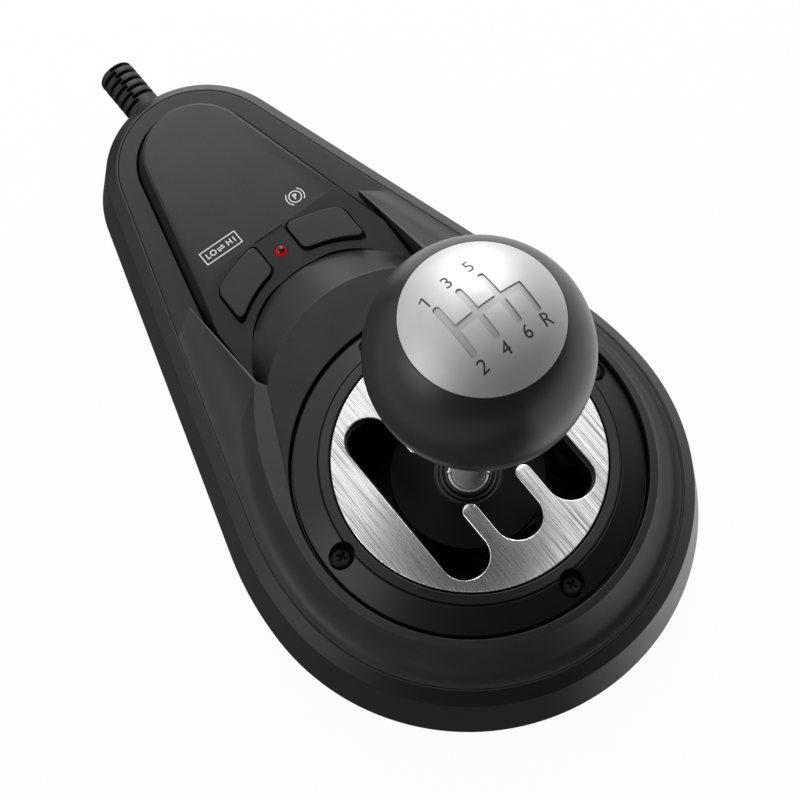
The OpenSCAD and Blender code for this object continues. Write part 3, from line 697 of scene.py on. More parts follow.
    def closed(self, fill: bool = False) -> "Workpiece":
        """Merge coinciding points, fill open ends if asked, and turn all faces outwards."""
        with editing(self.obj):
            bpy.ops.mesh.remove_doubles(threshold=WELD)
            if fill:
                bpy.ops.mesh.fill_holes(sides=0)
            bpy.ops.mesh.normals_make_consistent(inside=False)
        return self

    def with_modifier(self, modifier: bpy.types.Modifier) -> "Workpiece":
        """Apply a modifier."""
        activate(self.obj)
        bpy.ops.object.modifier_apply(modifier=modifier.name)
        return self

    def combined(self, other: "Workpiece", how: Cut) -> "Workpiece":
        """Cut with, join to or share with another workpiece, which is used up."""
        modifier = self.obj.modifiers.new("combine", "BOOLEAN")
        modifier.operation = how.value
        modifier.solver = "EXACT"
        modifier.object = other.obj
        self.with_modifier(modifier)
        bpy.data.objects.remove(other.obj)
        return self

    def cut(self, *others: "Workpiece") -> "Workpiece":
        """Cut several workpieces away."""
        for other in others:
            self.combined(other, Cut.AWAY)
        return self

    def joined(self, *others: "Workpiece") -> "Workpiece":
        """Take other workpieces into this mesh as they are."""
        activate(self.obj)
        for other in others:
            other.obj.select_set(True)
        bpy.ops.object.join()
        return self

    def bevelled(self, width: float, angle: float = 35.0, segments: int = 2) -> "Workpiece":
        """Round the edges that are sharper than an angle."""
        bevel = self.obj.modifiers.new("round", "BEVEL")
        bevel.width = width
        bevel.segments = segments
        bevel.limit_method = "ANGLE"
        bevel.angle_limit = math.radians(angle)
        return self.with_modifier(bevel)

    def copied(self, name: str) -> "Workpiece":
        """Copy the piece with a mesh of its own."""
        activate(self.obj)
        bpy.ops.object.duplicate(linked=False)
        return Workpiece(name)

    def placed(self, finish: Finish, body: str, slot: str = "", replaces: Sequence[str] = (),
               smooth: float = 32.0) -> bpy.types.Object:
        """Take the piece to its place in the frame and dress it.

        Args:
            finish: What the piece is made of.
            body: The body that it rides on.
            slot: The record's material slot, if it has one; not used.
            replaces: Nodes that it stands for.
            smooth: Angle under which neighbouring faces shade as one, in degrees.

        Returns:
            The finished object.
        """
        self.obj.scale = (MM, MM, MM)
        self.obj.location = lever_axis()
        self.applied()
        bpy.ops.object.shade_smooth_by_angle(angle=math.radians(smooth))
        even = self.obj.modifiers.new("even", "WEIGHTED_NORMAL")
        even.keep_sharp = True
        self.with_modifier(even)
        self.obj.data.materials.clear()
        self.obj.data.materials.append(finish.material())
        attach(self.obj, body)
        if replaces:
            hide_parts(*replaces)
        LOG.info("%s: %d faces on %s", self.obj.name, len(self.obj.data.polygons), body)
        return self.obj


def lever_axis() -> Vector:
    """Find where the lever's axis meets the gate plate's top face in the frame."""
    low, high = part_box("gate_plate")
    return Vector(((low.x + high.x) / 2, (low.y + high.y) / 2, high.z))


def sweep(name: str, profile: Sequence[Point], outline: Callable[[float], Loop]) -> Workpiece:
    """Carry a profile round an outline.

    Args:
        name: The piece's name.
        profile: Points of inset and height; a profile that ends on its first point makes a closed band.
        outline: Gives the outline at an inset.

    Returns:
        The workpiece, with open ends filled.
    """
    loops = [outline(inset) for inset, _ in profile]
    count = len(loops[0])
    return Workpiece.wrapped(
        name, len(profile), count + 1, lambda row, column: (*loops[row][column % count], profile[row][1]))


SKIRT = MouldedPlastic("skirt_moulding", (0.006, 0.006, 0.0063), 0.36, specular=0.40)
HOUSING = MouldedPlastic("housing_moulding", (0.015, 0.015, 0.0153), 0.30, specular=0.22)
# The flank's finish is a lighter copy of the housing moulding above, on the same moulded part: painted light.
FLANK_LIT = MouldedPlastic("flank_lit_moulding", (0.033, 0.033, 0.0333), 0.36, specular=0.26)
DECK = MouldedPlastic("deck_moulding", (0.018, 0.018, 0.0183), 0.30, specular=0.26)
BEZEL = MouldedPlastic("bezel_moulding", (0.0035, 0.0035, 0.0036), 0.34, specular=0.40)
BUTTON = MouldedPlastic("button_moulding", (0.016, 0.016, 0.0163), 0.36, specular=0.22)
KNOB = MouldedPlastic("knob_moulding", (0.012, 0.012, 0.0123), 0.33, grain=0.3, depth=0.004, specular=0.45)
GATE_BLACK = MouldedPlastic("gate_moulding", (0.0036, 0.0036, 0.0036), 0.50, specular=0.065)
COLLAR = MouldedPlastic("collar_moulding", (0.014, 0.014, 0.014), 0.28, specular=0.45)
RUBBER = MouldedPlastic("sleeve_rubber", (0.010, 0.010, 0.010), 0.55, grain=0.7, depth=0.02, specular=0.35)
CHIP = MouldedPlastic("component_moulding", (0.02, 0.02, 0.021), 0.55)
BRACKET = MouldedPlastic("bracket_coating", (0.012, 0.012, 0.013), 0.45, grain=0.8, depth=0.03, specular=0.2)
SCREW_BLACK = SatinMetal("black_oxide", (0.014, 0.014, 0.0145), 0.42)
PLATE = BrushedMetal("brushed_plate", (0.96, 0.96, 0.965), 0.22)
CAP = SatinMetal("cap_satin", (0.52, 0.52, 0.525), 0.50, grain=0.12, depth=0.0015, metallic=0.6)
# The channels' finish is the cap's finish painted darker: painted shade in the engraving.
CHANNEL_SHADE = SatinMetal("cap_channel_shade", (0.43, 0.43, 0.435), 0.50, grain=0.12, depth=0.0015, metallic=0.6)
STEM = SatinMetal("stem_steel", (0.75, 0.75, 0.76), 0.32, metallic=0.30)
POLISHED = SatinMetal("polished_steel_wire", (0.34, 0.34, 0.35), 0.34)
ZINC = SatinMetal("black_zinc_plate", (0.06, 0.06, 0.062), 0.40, grain=0.8)
SPRING = SatinMetal("drawn_wire", (0.45, 0.46, 0.48), 0.26)
BRASS = SatinMetal("turned_brass", (0.26, 0.18, 0.07), 0.42)
MASK = SolderMask("solder_mask", (0.012, 0.09, 0.035), 0.34)
WHITE_INK = Ink("white_ink", (0.80, 0.80, 0.80), 0.5)
DARK_INK = Ink("dark_ink", (0.020, 0.020, 0.021), 0.5)


@dataclass
class Base:
    """The skirt, the tray under it and what the base stands on."""

    front_r: float = 58.5
    tail_r: float = 28.3
    reach: float = 110.0
    foot: float = -32.4
    shoulder: float = -17.6
    rim: float = -14.6
    floor: float = -41.0
    swell: float = 30.0
    draft: float = 2.8
    chamfer_in: float = 5.8
    rim_in: float = 6.4
    tray_in: float = 4.0
    tray_top: float = -31.0
    foot_r: float = 7.0
    foot_h: float = 2.0
    insert_r: float = 4.0
    insert_bore_r: float = 2.5
    insert_len: float = 6.0
    screw_head_r: float = 2.75
    sleeve_r: float = 4.9
    sleeve_z: float = -25.0
    sleeve_out: float = 13.7
    sleeve_slots: int = 5
    slot_w: float = 1.05
    slot_turn: float = -14.0

    def outline(self, inset: float) -> Loop:
        """Return the base's outline, moved in by an inset."""
        return teardrop(self.front_r - inset, self.tail_r - inset, self.reach, self.swell)

    def build(self) -> None:
        """Model and place every piece of the base."""
        self.skirt()
        self.tray()
        self.feet()
        self.inserts()
        self.screws()
        self.sleeve()

    def skirt(self) -> None:
        """Model the skirt as a closed band, with a hole for the sleeve."""
        seam, rim, tray_top = self.rim_in - 0.06, self.rim, self.tray_top
        lap, wall, lip = 8.5, 6.2, 2.2
        lap_top, lap_low, wall_top = rim - 2.8, rim - 4.8, -29.0
        profile = rounded([
            (0.0, self.foot, 0.5), (self.draft, self.shoulder, 0.6), (self.chamfer_in, rim, 0.5),
            (seam, rim, 0.15), (seam, lap_top, 0), (lap, lap_top, 0), (lap, lap_low, 0), (wall, wall_top, 0),
            (wall, tray_top, 0), (lip, tray_top, 0.2), (lip, self.foot, 0.3)], closed=True)
        band = sweep("skirt", [*profile, profile[0]], self.outline)
        hole = Workpiece.rod("sleeve_hole", self.sleeve_r + 0.06, 0, 30).moved(
            (0, self.reach + self.tail_r + 10, self.sleeve_z), (90, 0, 0))
        band.cut(hole).placed(SKIRT, "housing", "skirt_plastic", ["skirt_shell"])

    def screw_places(self) -> list[Point]:
        """Return where the tray screws stand."""
        ring_r = 44.7
        sides = [polar(ring_r, angle) for angle in (-27, 10)]
        rear = (15.0, self.reach + 2)
        return [(side * x, y) for x, y in [*sides, rear] for side in (-1, 1)]

    def foot_places(self) -> list[Point]:
        """Return where the rubber feet stand."""
        ring_r = self.front_r - self.tray_in - self.foot_r - 4.5
        pairs = [polar(ring_r, angle) for angle in (-62, 30)]
        return [(side * x, y) for x, y in pairs for side in (-1, 1)] + [(0.0, self.reach + 10)]

    def insert_places(self) -> list[Point]:
        """Return where the threaded inserts stand."""
        return [(x, 25.0 + y) for x in (-30.0, 30.0) for y in (-30.0, 30.0)]

    def tray(self) -> None:
        """Model the tray with its pockets for feet, screws and inserts."""
        floor, middle, lip, wall = self.floor, 8.0, self.tray_in, self.tray_in + 2
        profile = rounded([
            (middle, floor + 2, 0), (wall, floor + 2, 0.6), (wall, self.tray_top, 0.2),
            (lip, self.tray_top, 0.2), (lip, floor, 1.0), (middle, floor, 0)])
        tray = sweep("tray", profile, self.outline)

        def rods(radius: float, low: float, high: float, places: Sequence[Point]) -> list[Workpiece]:
            """Start a rod at each place, between two heights over the floor."""
            return [Workpiece.rod("rod", radius, floor + low, floor + high, at) for at in places]

        feet, inserts, screws = self.foot_places(), self.insert_places(), self.screw_places()
        for boss in rods(self.insert_r + 1.8, 0.5, self.insert_len, inserts) + rods(5.0, 0.5, 4.5, screws):
            tray.combined(boss, Cut.JOIN)
        tray.cut(*rods(self.foot_r + 0.15, -1, 1, feet), *rods(self.insert_r, -1, 9, inserts),
                 *rods(self.screw_head_r + 0.3, -1, 2.1, screws), *rods(1.65, -1, 9, screws))
        tray.bevelled(0.2, 50.0).placed(SKIRT, "housing", "skirt_plastic", ["bottom_tray"])

    def feet(self) -> None:
        """Model a rubber foot with a gripping groove and copy it."""
        low = self.floor - self.foot_h
        profile = rounded([
            (0, low, 0), (3.4, low, 0.2), (3.8, low + 0.4, 0.2), (4.6, low + 0.4, 0.2), (5.0, low, 0.2),
            (self.foot_r, low, 0.7), (self.foot_r, self.floor + 1, 0.2), (0, self.floor + 1, 0)])
        self.spread(Workpiece.lathe("rubber_foot", profile, 72), self.foot_places(), RUBBER,
                    "black_rubber", "rubber_feet")

    def inserts(self) -> None:
        """Model a threaded insert with a tapped blind bore and a grooved body, and copy it."""
        low, high, bore, wall = self.floor, self.floor + self.insert_len, self.insert_bore_r, self.insert_r
        pitch = 0.8
        turns = int(self.insert_len / pitch) - 1
        thread = [(bore + 0.35 * (k % 2), low + 0.5 + pitch * k / 2) for k in range(2 * turns, -1, -1)]
        profile = [(0, high - 0.5), (bore + 0.4, high - 0.5), *thread, (bore + 0.5, low), (wall - 0.2, low),
                   (wall, low + 0.2), (wall, low + 1.2), (wall - 0.4, low + 1.4), (wall - 0.4, low + 2.2),
                   (wall, low + 2.4), (wall, high - 0.3), (wall - 0.3, high), (0, high)]
        self.spread(Workpiece.lathe("threaded_insert", profile, 64), self.insert_places(), BRASS,
                    "brass", "threaded_inserts")

    def screws(self) -> None:
        """Copy a cross-head screw, head down, into each tray pocket."""
        screw = cross_head_screw("tray_screw", self.screw_head_r, head_h=1.9, shank_r=1.25, length=10.0)
        screw.moved((0, 0, self.floor + 2.1), (180, 0, 0))
        self.spread(screw, self.screw_places(), ZINC, "zinc_steel", "tray_screws")

    def spread(self, model: Workpiece, places: Sequence[Point], finish: Finish, slot: str, node: str) -> None:
        """Copy a model to each place, with the first copy standing for the node.

        Args:
            model: The piece, modelled on the lever's axis; it is used up.
            places: Where the copies stand.
            finish: What they are made of.
            slot: The record's material slot.
            node: The node that they stand for.
        """
        name = model.obj.name
        for number, (x, y) in enumerate(places, 1):
            copy = model.copied(f"{name}_{number}").moved((x, y, 0))
            copy.placed(finish, "housing", slot, [node])
        bpy.data.objects.remove(model.obj)

    def sleeve(self) -> None:
        """Model the cable sleeve: a tube with half slots that alternate from side to side."""
        end = self.reach + self.tail_r + self.sleeve_out - 0.02
        start = end - self.sleeve_out
        root = start - 5.0
        bore, outer = 2.2, self.sleeve_r
        profile = rounded([
            (bore, root, 0), (outer, root, 0), (outer, end, 1.1), (bore, end, 0.5), (bore, root, 0)])
        tube = Workpiece.lathe("cable_sleeve", [*profile[:-1], profile[0]], 96)
        pitch = self.sleeve_out / (self.sleeve_slots + 0.25)
        for k in range(self.sleeve_slots):
            for half, turn in enumerate((180, 0)):
                middle = start + pitch * (k + 0.3 + half / 2)
                low, high = middle - self.slot_w / 2, middle + self.slot_w / 2
                band = [(3.0, low), (7.0, low), (7.0, high), (3.0, high), (3.0, low)]
                slot = Workpiece.lathe("slot", band, 48)
                slot.cut(Workpiece.box("far_half", (-9, -9, low - 1), (-0.5, 9, high + 1)))
                tube.cut(slot.moved((0, 0, 0), (0, 0, turn + self.slot_turn)))
        tube.bevelled(0.12, 50.0).moved((0, 0, self.sleeve_z), (-90, 0, 0))
        tube.placed(RUBBER, "housing", "black_rubber", ["strain_relief"])


def cross_head_screw(name: str, head_r: float, head_h: float, shank_r: float, length: float) -> Workpiece:
    """Model a pan-head screw with a cross recess, seated at height 0 with its head up.

    Args:
        name: The piece's name.
        head_r: Radius of the head.
        head_h: Height of the head.
        shank_r: Radius of the shank.
        length: Length of the shank.

    Returns:
        The workpiece.
    """
    pitch = 0.9
    turns = int((length - 2) / pitch)
    thread = [(shank_r - 0.22 * (k % 2), -1 - pitch * k / 2) for k in range(2 * turns + 1)]
    profile = [(0, head_h), *rounded([
        (0, head_h, 0), (head_r, head_h, head_h * 0.6), (head_r, 0, 0.1), (shank_r, 0, 0)])[1:],
        *thread, (0, -length)]
    screw = Workpiece.lathe(name, profile, 64)
    arm, width = head_r * 0.46, head_r * 0.12
    for turn in (0, 90):
        slot = Workpiece.box("cross_arm", (-arm, -width, head_h * 0.3), (arm, width, head_h + 1))
        screw.cut(slot.moved((0, 0, 0), (0, 0, turn)))
    return screw.bevelled(0.06, 50.0)


@dataclass(frozen=True)
class Station:
    """One place along the flank: crest, foot on the rim, the top's inner edge, height and rise."""

    crest: Point
    foot: Point
    inner: Point
    height: float
    rise: float = 0.0


@dataclass
class Turret:
    """The upper housing round the gate, its bezel and the slotted plate."""

    base: Base
    top: float = -4.2
    crest_r: float = 45.2
    crest_leave: float = 5.0
    crest_edge: float = 0.35
    crest_rise: float = 0.8
    barrel_r: float = 43.2
    fin_front: Point = (27.95, 48.2)
    fin_tail: Point = (27.0, 78.4)
    fin_tail_z: float = -13.3
    crest_w: float = 0.7
    flare: float = 2.2
    tail_x: float = 25.9
    tail_angle: float = 29.2
    brow_r: float = 36.0
    brow_y: float = 21.02
    slope_foot_r: float = 28.0
    slope_foot_y: float = 41.0
    slope_foot_z: float = -11.0
    low: float = -17.4
    groove_front: float = 42.6
    groove_tail: float = 16.6
    bezel_r: float = 42.25
    bore_r: float = 33.3
    lip_r: float = 35.75
    bezel_seat: float = -7.0
    bezel_edge: float = -4.4
    screw_ring_r: float = 38.2
    recess_r: float = 3.15
    recess_z: float = -5.1
    plate_r: float = 33.0
    plate_t: float = 2.0
    lane_pitch: float = 16.0
    lane_half: float = 6.0
    lane_reach: float = 18.0
    neutral_half: float = 8.5
    well_wall: float = 1.6
    well_drop: float = 4.0
    ledge_t: float = 2.2
    ledge_in: float = 0.7
    flange_r: Point = (32.0, 42.6)

    def build(self) -> None:
        """Model and place every piece of the turret."""
        self.flank()
        self.tail()
        self.rim_plate()
        self.bezel()
        self.bezel_screws()
        self.gate_plate()
        self.gate_frame()

    @property
    def rim_r(self) -> float:
        """Radius of the rim's front arc."""
        return self.base.front_r - self.base.rim_in

    def rim_point(self, y: float) -> Point:
        """Return the point of the rim's right side at a distance along the base."""
        base = self.base
        lean = math.radians(side_lean(self.rim_r, base.tail_r - base.rim_in, base.reach, base.swell))
        wide = self.rim_r + base.swell
        turn = wide * math.sin(lean)
        if y < turn:
            return math.sqrt(wide ** 2 - y ** 2) - base.swell, y
        return wide * math.cos(lean) - base.swell - (y - turn) * math.tan(lean), y

    @property
    def tail_corner(self) -> Point:
        """Where the side of the turret's tail meets the brow of its slope."""
        return self.tail_x, self.brow_y + math.sqrt(self.brow_r ** 2 - self.tail_x ** 2)

    def stations(self) -> list[Station]:
        """Return the flank's stations on the right side, from the front round to the fin's tail."""
        sweep_steps, blend_steps, fin_steps = 60, 40, 40
        swing, part = self.crest_leave, 0.45
        leave, bend = polar(self.crest_r, swing), polar(self.barrel_r, self.tail_angle)
        fin, tail = self.fin_front, self.fin_tail
        turn_y, end_y = fin[1] - 6.4, tail[1] - 4.2
        found = []
        for i in range(sweep_steps + 1):
            angle = mix(-90, swing, i / sweep_steps)
            foot = polar(self.rim_r, mix(-90, 0, i / sweep_steps))
            inner = polar(self.barrel_r, angle)
            found.append(Station(polar(self.crest_r, angle), foot, inner, self.top, self.crest_rise))
        ahead = (leave[0] - 1.5, leave[1] + 18)
        behind = (fin[0] + 9.5, fin[1] - 10.2)
        for i in range(1, blend_steps + 1):
            t = i / blend_steps
            crest = bezier([leave, ahead, behind, fin], t)
            foot = self.rim_point(mix(0, turn_y, t))
            if t < part:
                inner = polar(self.barrel_r, mix(swing, self.tail_angle, t / part))
            else:
                inner = mix_points(bend, self.tail_corner, (t - part) / (1 - part))
            rise = self.crest_rise * max(0.0, 1 - t / part)
            found.append(Station(crest, foot, inner, self.top, rise))
        for i in range(fin_steps + 1):
            t = i / fin_steps
            foot = self.rim_point(mix(turn_y, end_y, t))
            crest = mix_points((fin[0] - 0.02, fin[1] + 0.3), tail, t)
            inner = (crest[0] - mix(self.crest_w, 0.3, t), crest[1])
            found.append(Station(crest, foot, inner, mix(self.top, self.fin_tail_z, t)))
        return found

    def flank_section(self, station: Station) -> list[tuple[float, float, float]]:
        """Return the closed section of the flank at a station: a concave face, a crest and a flat top."""
        run = math.dist(station.crest, station.foot)
        width = math.dist(station.crest, station.inner)
        rim, faces = self.base.rim, 18
        shares = [0.93 * (1 - k / faces) for k in range(faces)]
        face = [(run * v, mix(rim, station.height, v ** self.flare), 0.0) for v in shares]
        edge = min(self.crest_edge, 0.3 * run, 0.45 * width)
        end, top = run + width, station.height + station.rise
        path = rounded([
            (0, self.low, 0), (end, self.low, 0), (end, top, edge * 0.7), (run, station.height, edge), *face,
            (0, rim, 0)], steps=4)
        marks = (station.foot, station.crest, station.inner)
        return [(*on_legs(marks, s), z) for s, z in path]

    def flank(self) -> None:
        """Model the flank round the turret and along both fins."""
        right = [self.flank_section(station) for station in self.stations()]
        left = [[(-x, y, z) for x, y, z in section] for section in right]
        sections = left[:0:-1] + right
        count = len(right[0])
        shell = Workpiece.wrapped(
            "turret_flank", len(sections), count + 1, lambda row, column: sections[row][column % count])
        # The flank is painted lighter than the rest of the same housing moulding: painted light.
        shell.placed(FLANK_LIT, "housing", "housing_plastic", ["upper_housing"])

    def tail(self) -> None:
        """Model the turret's top behind the gate and the slope that falls from it to the deck."""
        columns = 64
        arcs = ((self.barrel_r, 0.0), (self.brow_r, self.brow_y), (self.slope_foot_r, self.slope_foot_y))
        ends = [self.tail_angle, *(math.degrees(math.acos(self.tail_x / r)) for r, _ in arcs[1:])]
        height = self.top - 0.02
        lines = []
        for i in range(columns + 1):
            marks = [polar(r, mix(a, 180 - a, i / columns), (0.0, y)) for (r, y), a in zip(arcs, ends)]
            brow = math.dist(marks[0], marks[1])
            foot = brow + math.dist(marks[1], marks[2])
            path = rounded([
                (0, self.low, 0), (0, height, 0.25), (brow, height, 0.6), (foot, self.slope_foot_z, 0),
                (foot, self.low, 0)], steps=6)
            lines.append([(*on_legs(marks, s), z) for s, z in path])
        count = len(lines[0])
        block = Workpiece.wrapped(
            "turret_tail", columns + 1, count + 1, lambda row, column: lines[row][column % count])
        block.bevelled(0.25, 60.0, 3).placed(HOUSING, "housing", "housing_plastic")

    def rim_plate(self) -> None:
        """Model the flat rim between the skirt's seam and the groove round the deck panel."""
        rim, low = self.base.rim - 0.02, self.low
        outer = self.base.rim_in + 0.03

        def outline(share: float) -> Loop:
            """Return the outline a share of the way from the seam to the groove."""
            seam = self.base.outline(outer)
            groove = teardrop(self.groove_front, self.groove_tail, self.base.reach + 1)
            return [mix_points(a, b, share) for a, b in zip(seam, groove)]

        path = rounded([(0, low, 0), (0, rim, 0.06), (1, rim, 0.06), (1, low, 0)], closed=True, steps=3)
        sweep("rim_plate", [*path, path[0]], outline).placed(HOUSING, "housing", "housing_plastic")

    def screw_places(self) -> list[Point]:
        """Return where the bezel screws stand."""
        return [polar(self.screw_ring_r, 90 * k) for k in range(4)]

    def bezel(self) -> None:
        """Model the bezel: a sloping ring with a flat inner lip and four screw recesses."""
        bore, lip, edge, seat, top = self.bore_r, self.lip_r, self.bezel_r, self.bezel_seat, -0.2
        profile = rounded([
            (bore, seat, 0), (edge, seat, 0), (edge, self.bezel_edge, 0.4), (lip + 0.55, -0.65, 0.3),
            (lip + 0.22, -0.95, 0.05), (lip, top, 0.3), (bore, top, 0.4)], closed=True)
        bezel = Workpiece.lathe("bezel", [*profile, profile[0]], 192)
        for at in self.screw_places():
            bezel.cut(Workpiece.rod("recess", self.recess_r, self.recess_z, 1, at))
        bezel.bevelled(0.15, 40.0).placed(BEZEL, "housing", "bezel_plastic", ["bezel_ring"])

    def bezel_screws(self) -> None:
        """Copy a black cross-head screw into each recess."""
        screw = cross_head_screw("bezel_screw", self.base.screw_head_r, head_h=1.9, shank_r=1.25, length=7.0)
        screw.moved((0, 0, self.recess_z), (0, 0, 30))
        self.base.spread(screw, self.screw_places(), SCREW_BLACK, "black_screw", "bezel_screws")

    def gate_loop(self) -> Loop:
        """Return the gate's opening: three lanes and a neutral passage, with round-ended fingers."""
        half, finger = self.lane_half, self.lane_pitch / 2 - self.lane_half
        tip_y = self.neutral_half + finger
        upper: Loop = []
        for lane in (1, 0, -1):
            upper += arc(half, 0, 180, (lane * self.lane_pitch, self.lane_reach), 28)
            if lane > -1:
                upper += arc(finger, 0, -180, ((lane - 0.5) * self.lane_pitch, tip_y), 20)
        return upper + [(-x, -y) for x, y in upper]

    def gate_plate(self) -> None:
        """Model the brushed plate with its slotted gate and bright chamfers."""
        plate = Workpiece.plate("gate_plate_skin", [ring(self.plate_r, steps=160), self.gate_loop()],
                                -self.plate_t, 0, 0.28)
        plate.placed(PLATE, "housing", "brushed_aluminium", ["gate_plate"])

    def well_loop(self, grow: float = 0.0) -> Loop:
        """Return the outline round all the lanes, moved out by an amount."""
        return [(x + sx * self.lane_pitch, y + sy * self.lane_reach)
                for start, sx, sy in ((0, 1, 1), (90, -1, 1), (180, -1, -1), (270, 1, -1))
                for x, y in arc(self.lane_half + grow, start, start + 90, steps=20)]

    def gate_frame(self) -> None:
        """Model the black frame under the plate: a ledge, a deep well round the lanes and a flange."""
        seat, upper, lap = self.bezel_seat - 2, self.bezel_seat - 0.02, 0.02
        top, ledge = -self.plate_t - 0.03, -self.plate_t - self.ledge_t
        disc, well = ring(self.plate_r - 0.1, steps=160), self.well_loop()
        web = Workpiece.plate("gate_frame_skin", [disc, self.well_loop(-self.ledge_in)], ledge, top, 0.3)
        block = Workpiece.plate("block", [disc, well], seat, ledge + lap)
        loops, foot = [self.well_loop(self.well_wall), well], seat - self.well_drop
        wall = Workpiece.plate("wall", loops, foot, seat + lap, 0.2)
        inner, outer = self.flange_r
        flange = [(inner, seat), (outer, seat), (outer, upper), (inner, upper), (inner, seat)]
        web.joined(block, wall, Workpiece.lathe("flange", flange, 128))
        web.placed(BEZEL, "housing", "bezel_plastic", ["gate_frame"])


@dataclass
class Deck:
    """The raised deck panel behind the turret, with its buttons, light and legends."""

    base: Base
    turret: Turret
    top: float = -9.4
    front_r: float = 42.0
    tail_r: float = 16.0
    lean: float = 1.6
    wall: float = 2.4
    under: float = -12.6
    slope: float = 6.0
    step_y: float = 81.2
    step_z: float = 0.3
    button_front_r: float = 31.4
    button_rear_r: float = 40.2
    button_inner_x: float = 4.9
    button_outer_x: float = 19.4
    corner_r: float = 2.6
    gap: float = 0.55
    rear_gap: float = 0.1
    light_r: float = 1.5
    light_y: float = 75.6
    ink_t: float = 0.03
    switch_y: float = 73.4
    post_r: float = 1.6

    def outline(self, inset: float) -> Loop:
        """Return the deck panel's outline, moved in by an inset."""
        return teardrop(self.front_r - inset, self.tail_r - inset, self.base.reach + 1)

    def build(self) -> None:
        """Model and place every piece of the deck."""
        self.panel()
        for name, side, body, node in (("range_key_cap", -1, "range_key", "range_button"),
                                       ("brake_key_cap", 1, "brake_key", "brake_button")):
            self.button(name, side, body, node)
        self.light()
        self.range_legend()
        self.brake_legend()

    def button_loop(self, side: int, grow: float = 0.0, rear: float = 0.0) -> Loop:
        """Return a button's outline: a rounded block bent along the arcs in front of it.

        Args:
            side: -1 for the left button and 1 for the right one.
            grow: How far the sides and the front are moved out.
            rear: How far the rear is moved out.

        Returns:
            The closed outline.
        """
        x0, x1 = self.button_inner_x - grow, self.button_outer_x + grow
        r0, r1 = self.button_front_r - grow, self.button_rear_r + rear
        corner = self.corner_r + grow
        middle = [x for x in (mix(x0, x1, k / 8) for k in range(1, 8)) if x0 + corner < x < x1 - corner]
        path = rounded([
            (x0, r0, corner), *[(x, r0, 0) for x in middle], (x1, r0, corner), (x1, r1, corner),
            *[(x, r1, 0) for x in reversed(middle)], (x0, r1, corner)], closed=True, steps=8)
        return [(side * x, self.turret.slope_foot_y + math.sqrt(r * r - x * x)) for x, r in path]

    def front_loop(self) -> Loop:
        """Return what is cut from the panel's front, with a slit that opens in front of each button."""
        slit, near, far = 0.6, 5.5, 20.5
        arc_r, mid = self.turret.slope_foot_r + 0.06, (0.0, self.turret.slope_foot_y)
        loop: Loop = [(-90.0, -60.0), (90.0, -60.0)]
        for x, y in arc(arc_r, 18, 162, mid, 96):
            share = (abs(x) - near) / (far - near)
            open_w = slit * math.sin(math.pi * share) ** 0.6 if 0 < share < 1 else 0.0
            out = (arc_r + open_w) / arc_r
            loop.append((x * out, mid[1] + (y - mid[1]) * out))
        return loop

    def panel(self) -> None:
        """Model the panel and cut its front, its slope, the step, the button holes and the light's hole."""
        rim, side_x = self.base.rim, self.turret.tail_x
        outer = rounded([
            (0.0, rim - 1.8, 0), (0.0, rim + 0.2, 0.3), (self.lean, self.top, 0.9),
            (self.lean + 4, self.top, 0)])
        panel = sweep("deck_panel_skin", outer, self.outline)
        inner = [(self.wall, rim - 4), (self.wall, rim - 1), (self.lean + self.wall, self.under)]
        panel.cut(sweep("hollow", inner, self.outline))
        for side in (-1, 1):
            low, high = sorted((side * side_x, side * 60))
            panel.cut(Workpiece.box("side", (low, 0, -30), (high, 140, 0)))
        panel.cut(Workpiece.plate("front", [self.front_loop()], -30, 0))
        ramp = Workpiece.box("ramp", (-60, -60, 0), (60, 0, 20))
        panel.cut(ramp.moved((0, self.step_y, self.top), (self.slope, 0, 0)))
        bay_x = self.button_inner_x - self.gap + 0.02
        bay = Workpiece.box("bay", (-bay_x, -30, 0), (bay_x, 0, 20))
        panel.cut(bay.moved((0, self.step_y, self.top - self.step_z), (self.slope - 1.4, 0, 0)))
        for side in (-1, 1):
            hole = self.button_loop(side, self.gap, self.rear_gap)
            panel.cut(Workpiece.plate("hole", [hole], -20, 0))
        panel.cut(Workpiece.rod("light_hole", self.light_r + 0.2, -20, 0, (0, self.light_y)))
        panel.bevelled(0.12, 40.0).placed(DECK, "housing", "deck_plastic", ["deck_panel"])

    def button(self, name: str, side: int, body: str, node: str) -> None:
        """Model a button with a rounded top, a flange under the panel and a post for its switch.

        Args:
            name: The piece's name.
            side: -1 for the left button and 1 for the right one.
            body: The body that it rides on.
            node: The node that it stands for.
        """
        foot = self.under - 1.2
        key = Workpiece.plate(name, [self.button_loop(side)], foot, self.top, 0.22)
        flange = Workpiece.plate("flange", [self.button_loop(side, 1.0, 1.0)], foot, foot + 0.9, 0.1)
        middle = (side * (self.button_inner_x + self.button_outer_x) / 2, self.switch_y)
        key.joined(flange, Workpiece.rod("post", self.post_r, self.under - 2.6, self.under, middle))
        key.placed(BUTTON, body, "button_plastic", [node])

    def light(self) -> None:
        """Model the indicator light: a domed lens with a flange under the panel."""
        seat = self.top - self.step_z - math.tan(math.radians(self.slope)) * (self.step_y - self.light_y)
        lens_r, low = self.light_r, seat - 5.0
        dome = [polar(lens_r, angle, (0.0, seat - 0.1)) for angle in range(0, 91, 9)]
        profile = [(0, low), (lens_r + 0.4, low), (lens_r + 0.4, low + 0.6), (lens_r, low + 0.6), *dome[:-1],
                   (0, seat - 0.1 + lens_r)]
        lens = Workpiece.lathe("indicator_lens", profile, 64).moved((0, self.light_y, 0))
        centre = lever_axis() + Vector((0, self.light_y * MM, 0))
        # The lens's bright rim, its glow and its dark middle are painted light.
        finish = PaintedLightLens("red_lens_painted_glow", (0.62, 0.008, 0.006), 0.08, tuple(centre), lens_r)
        lens.placed(finish, "housing", "red_lens", ["indicator_light"])

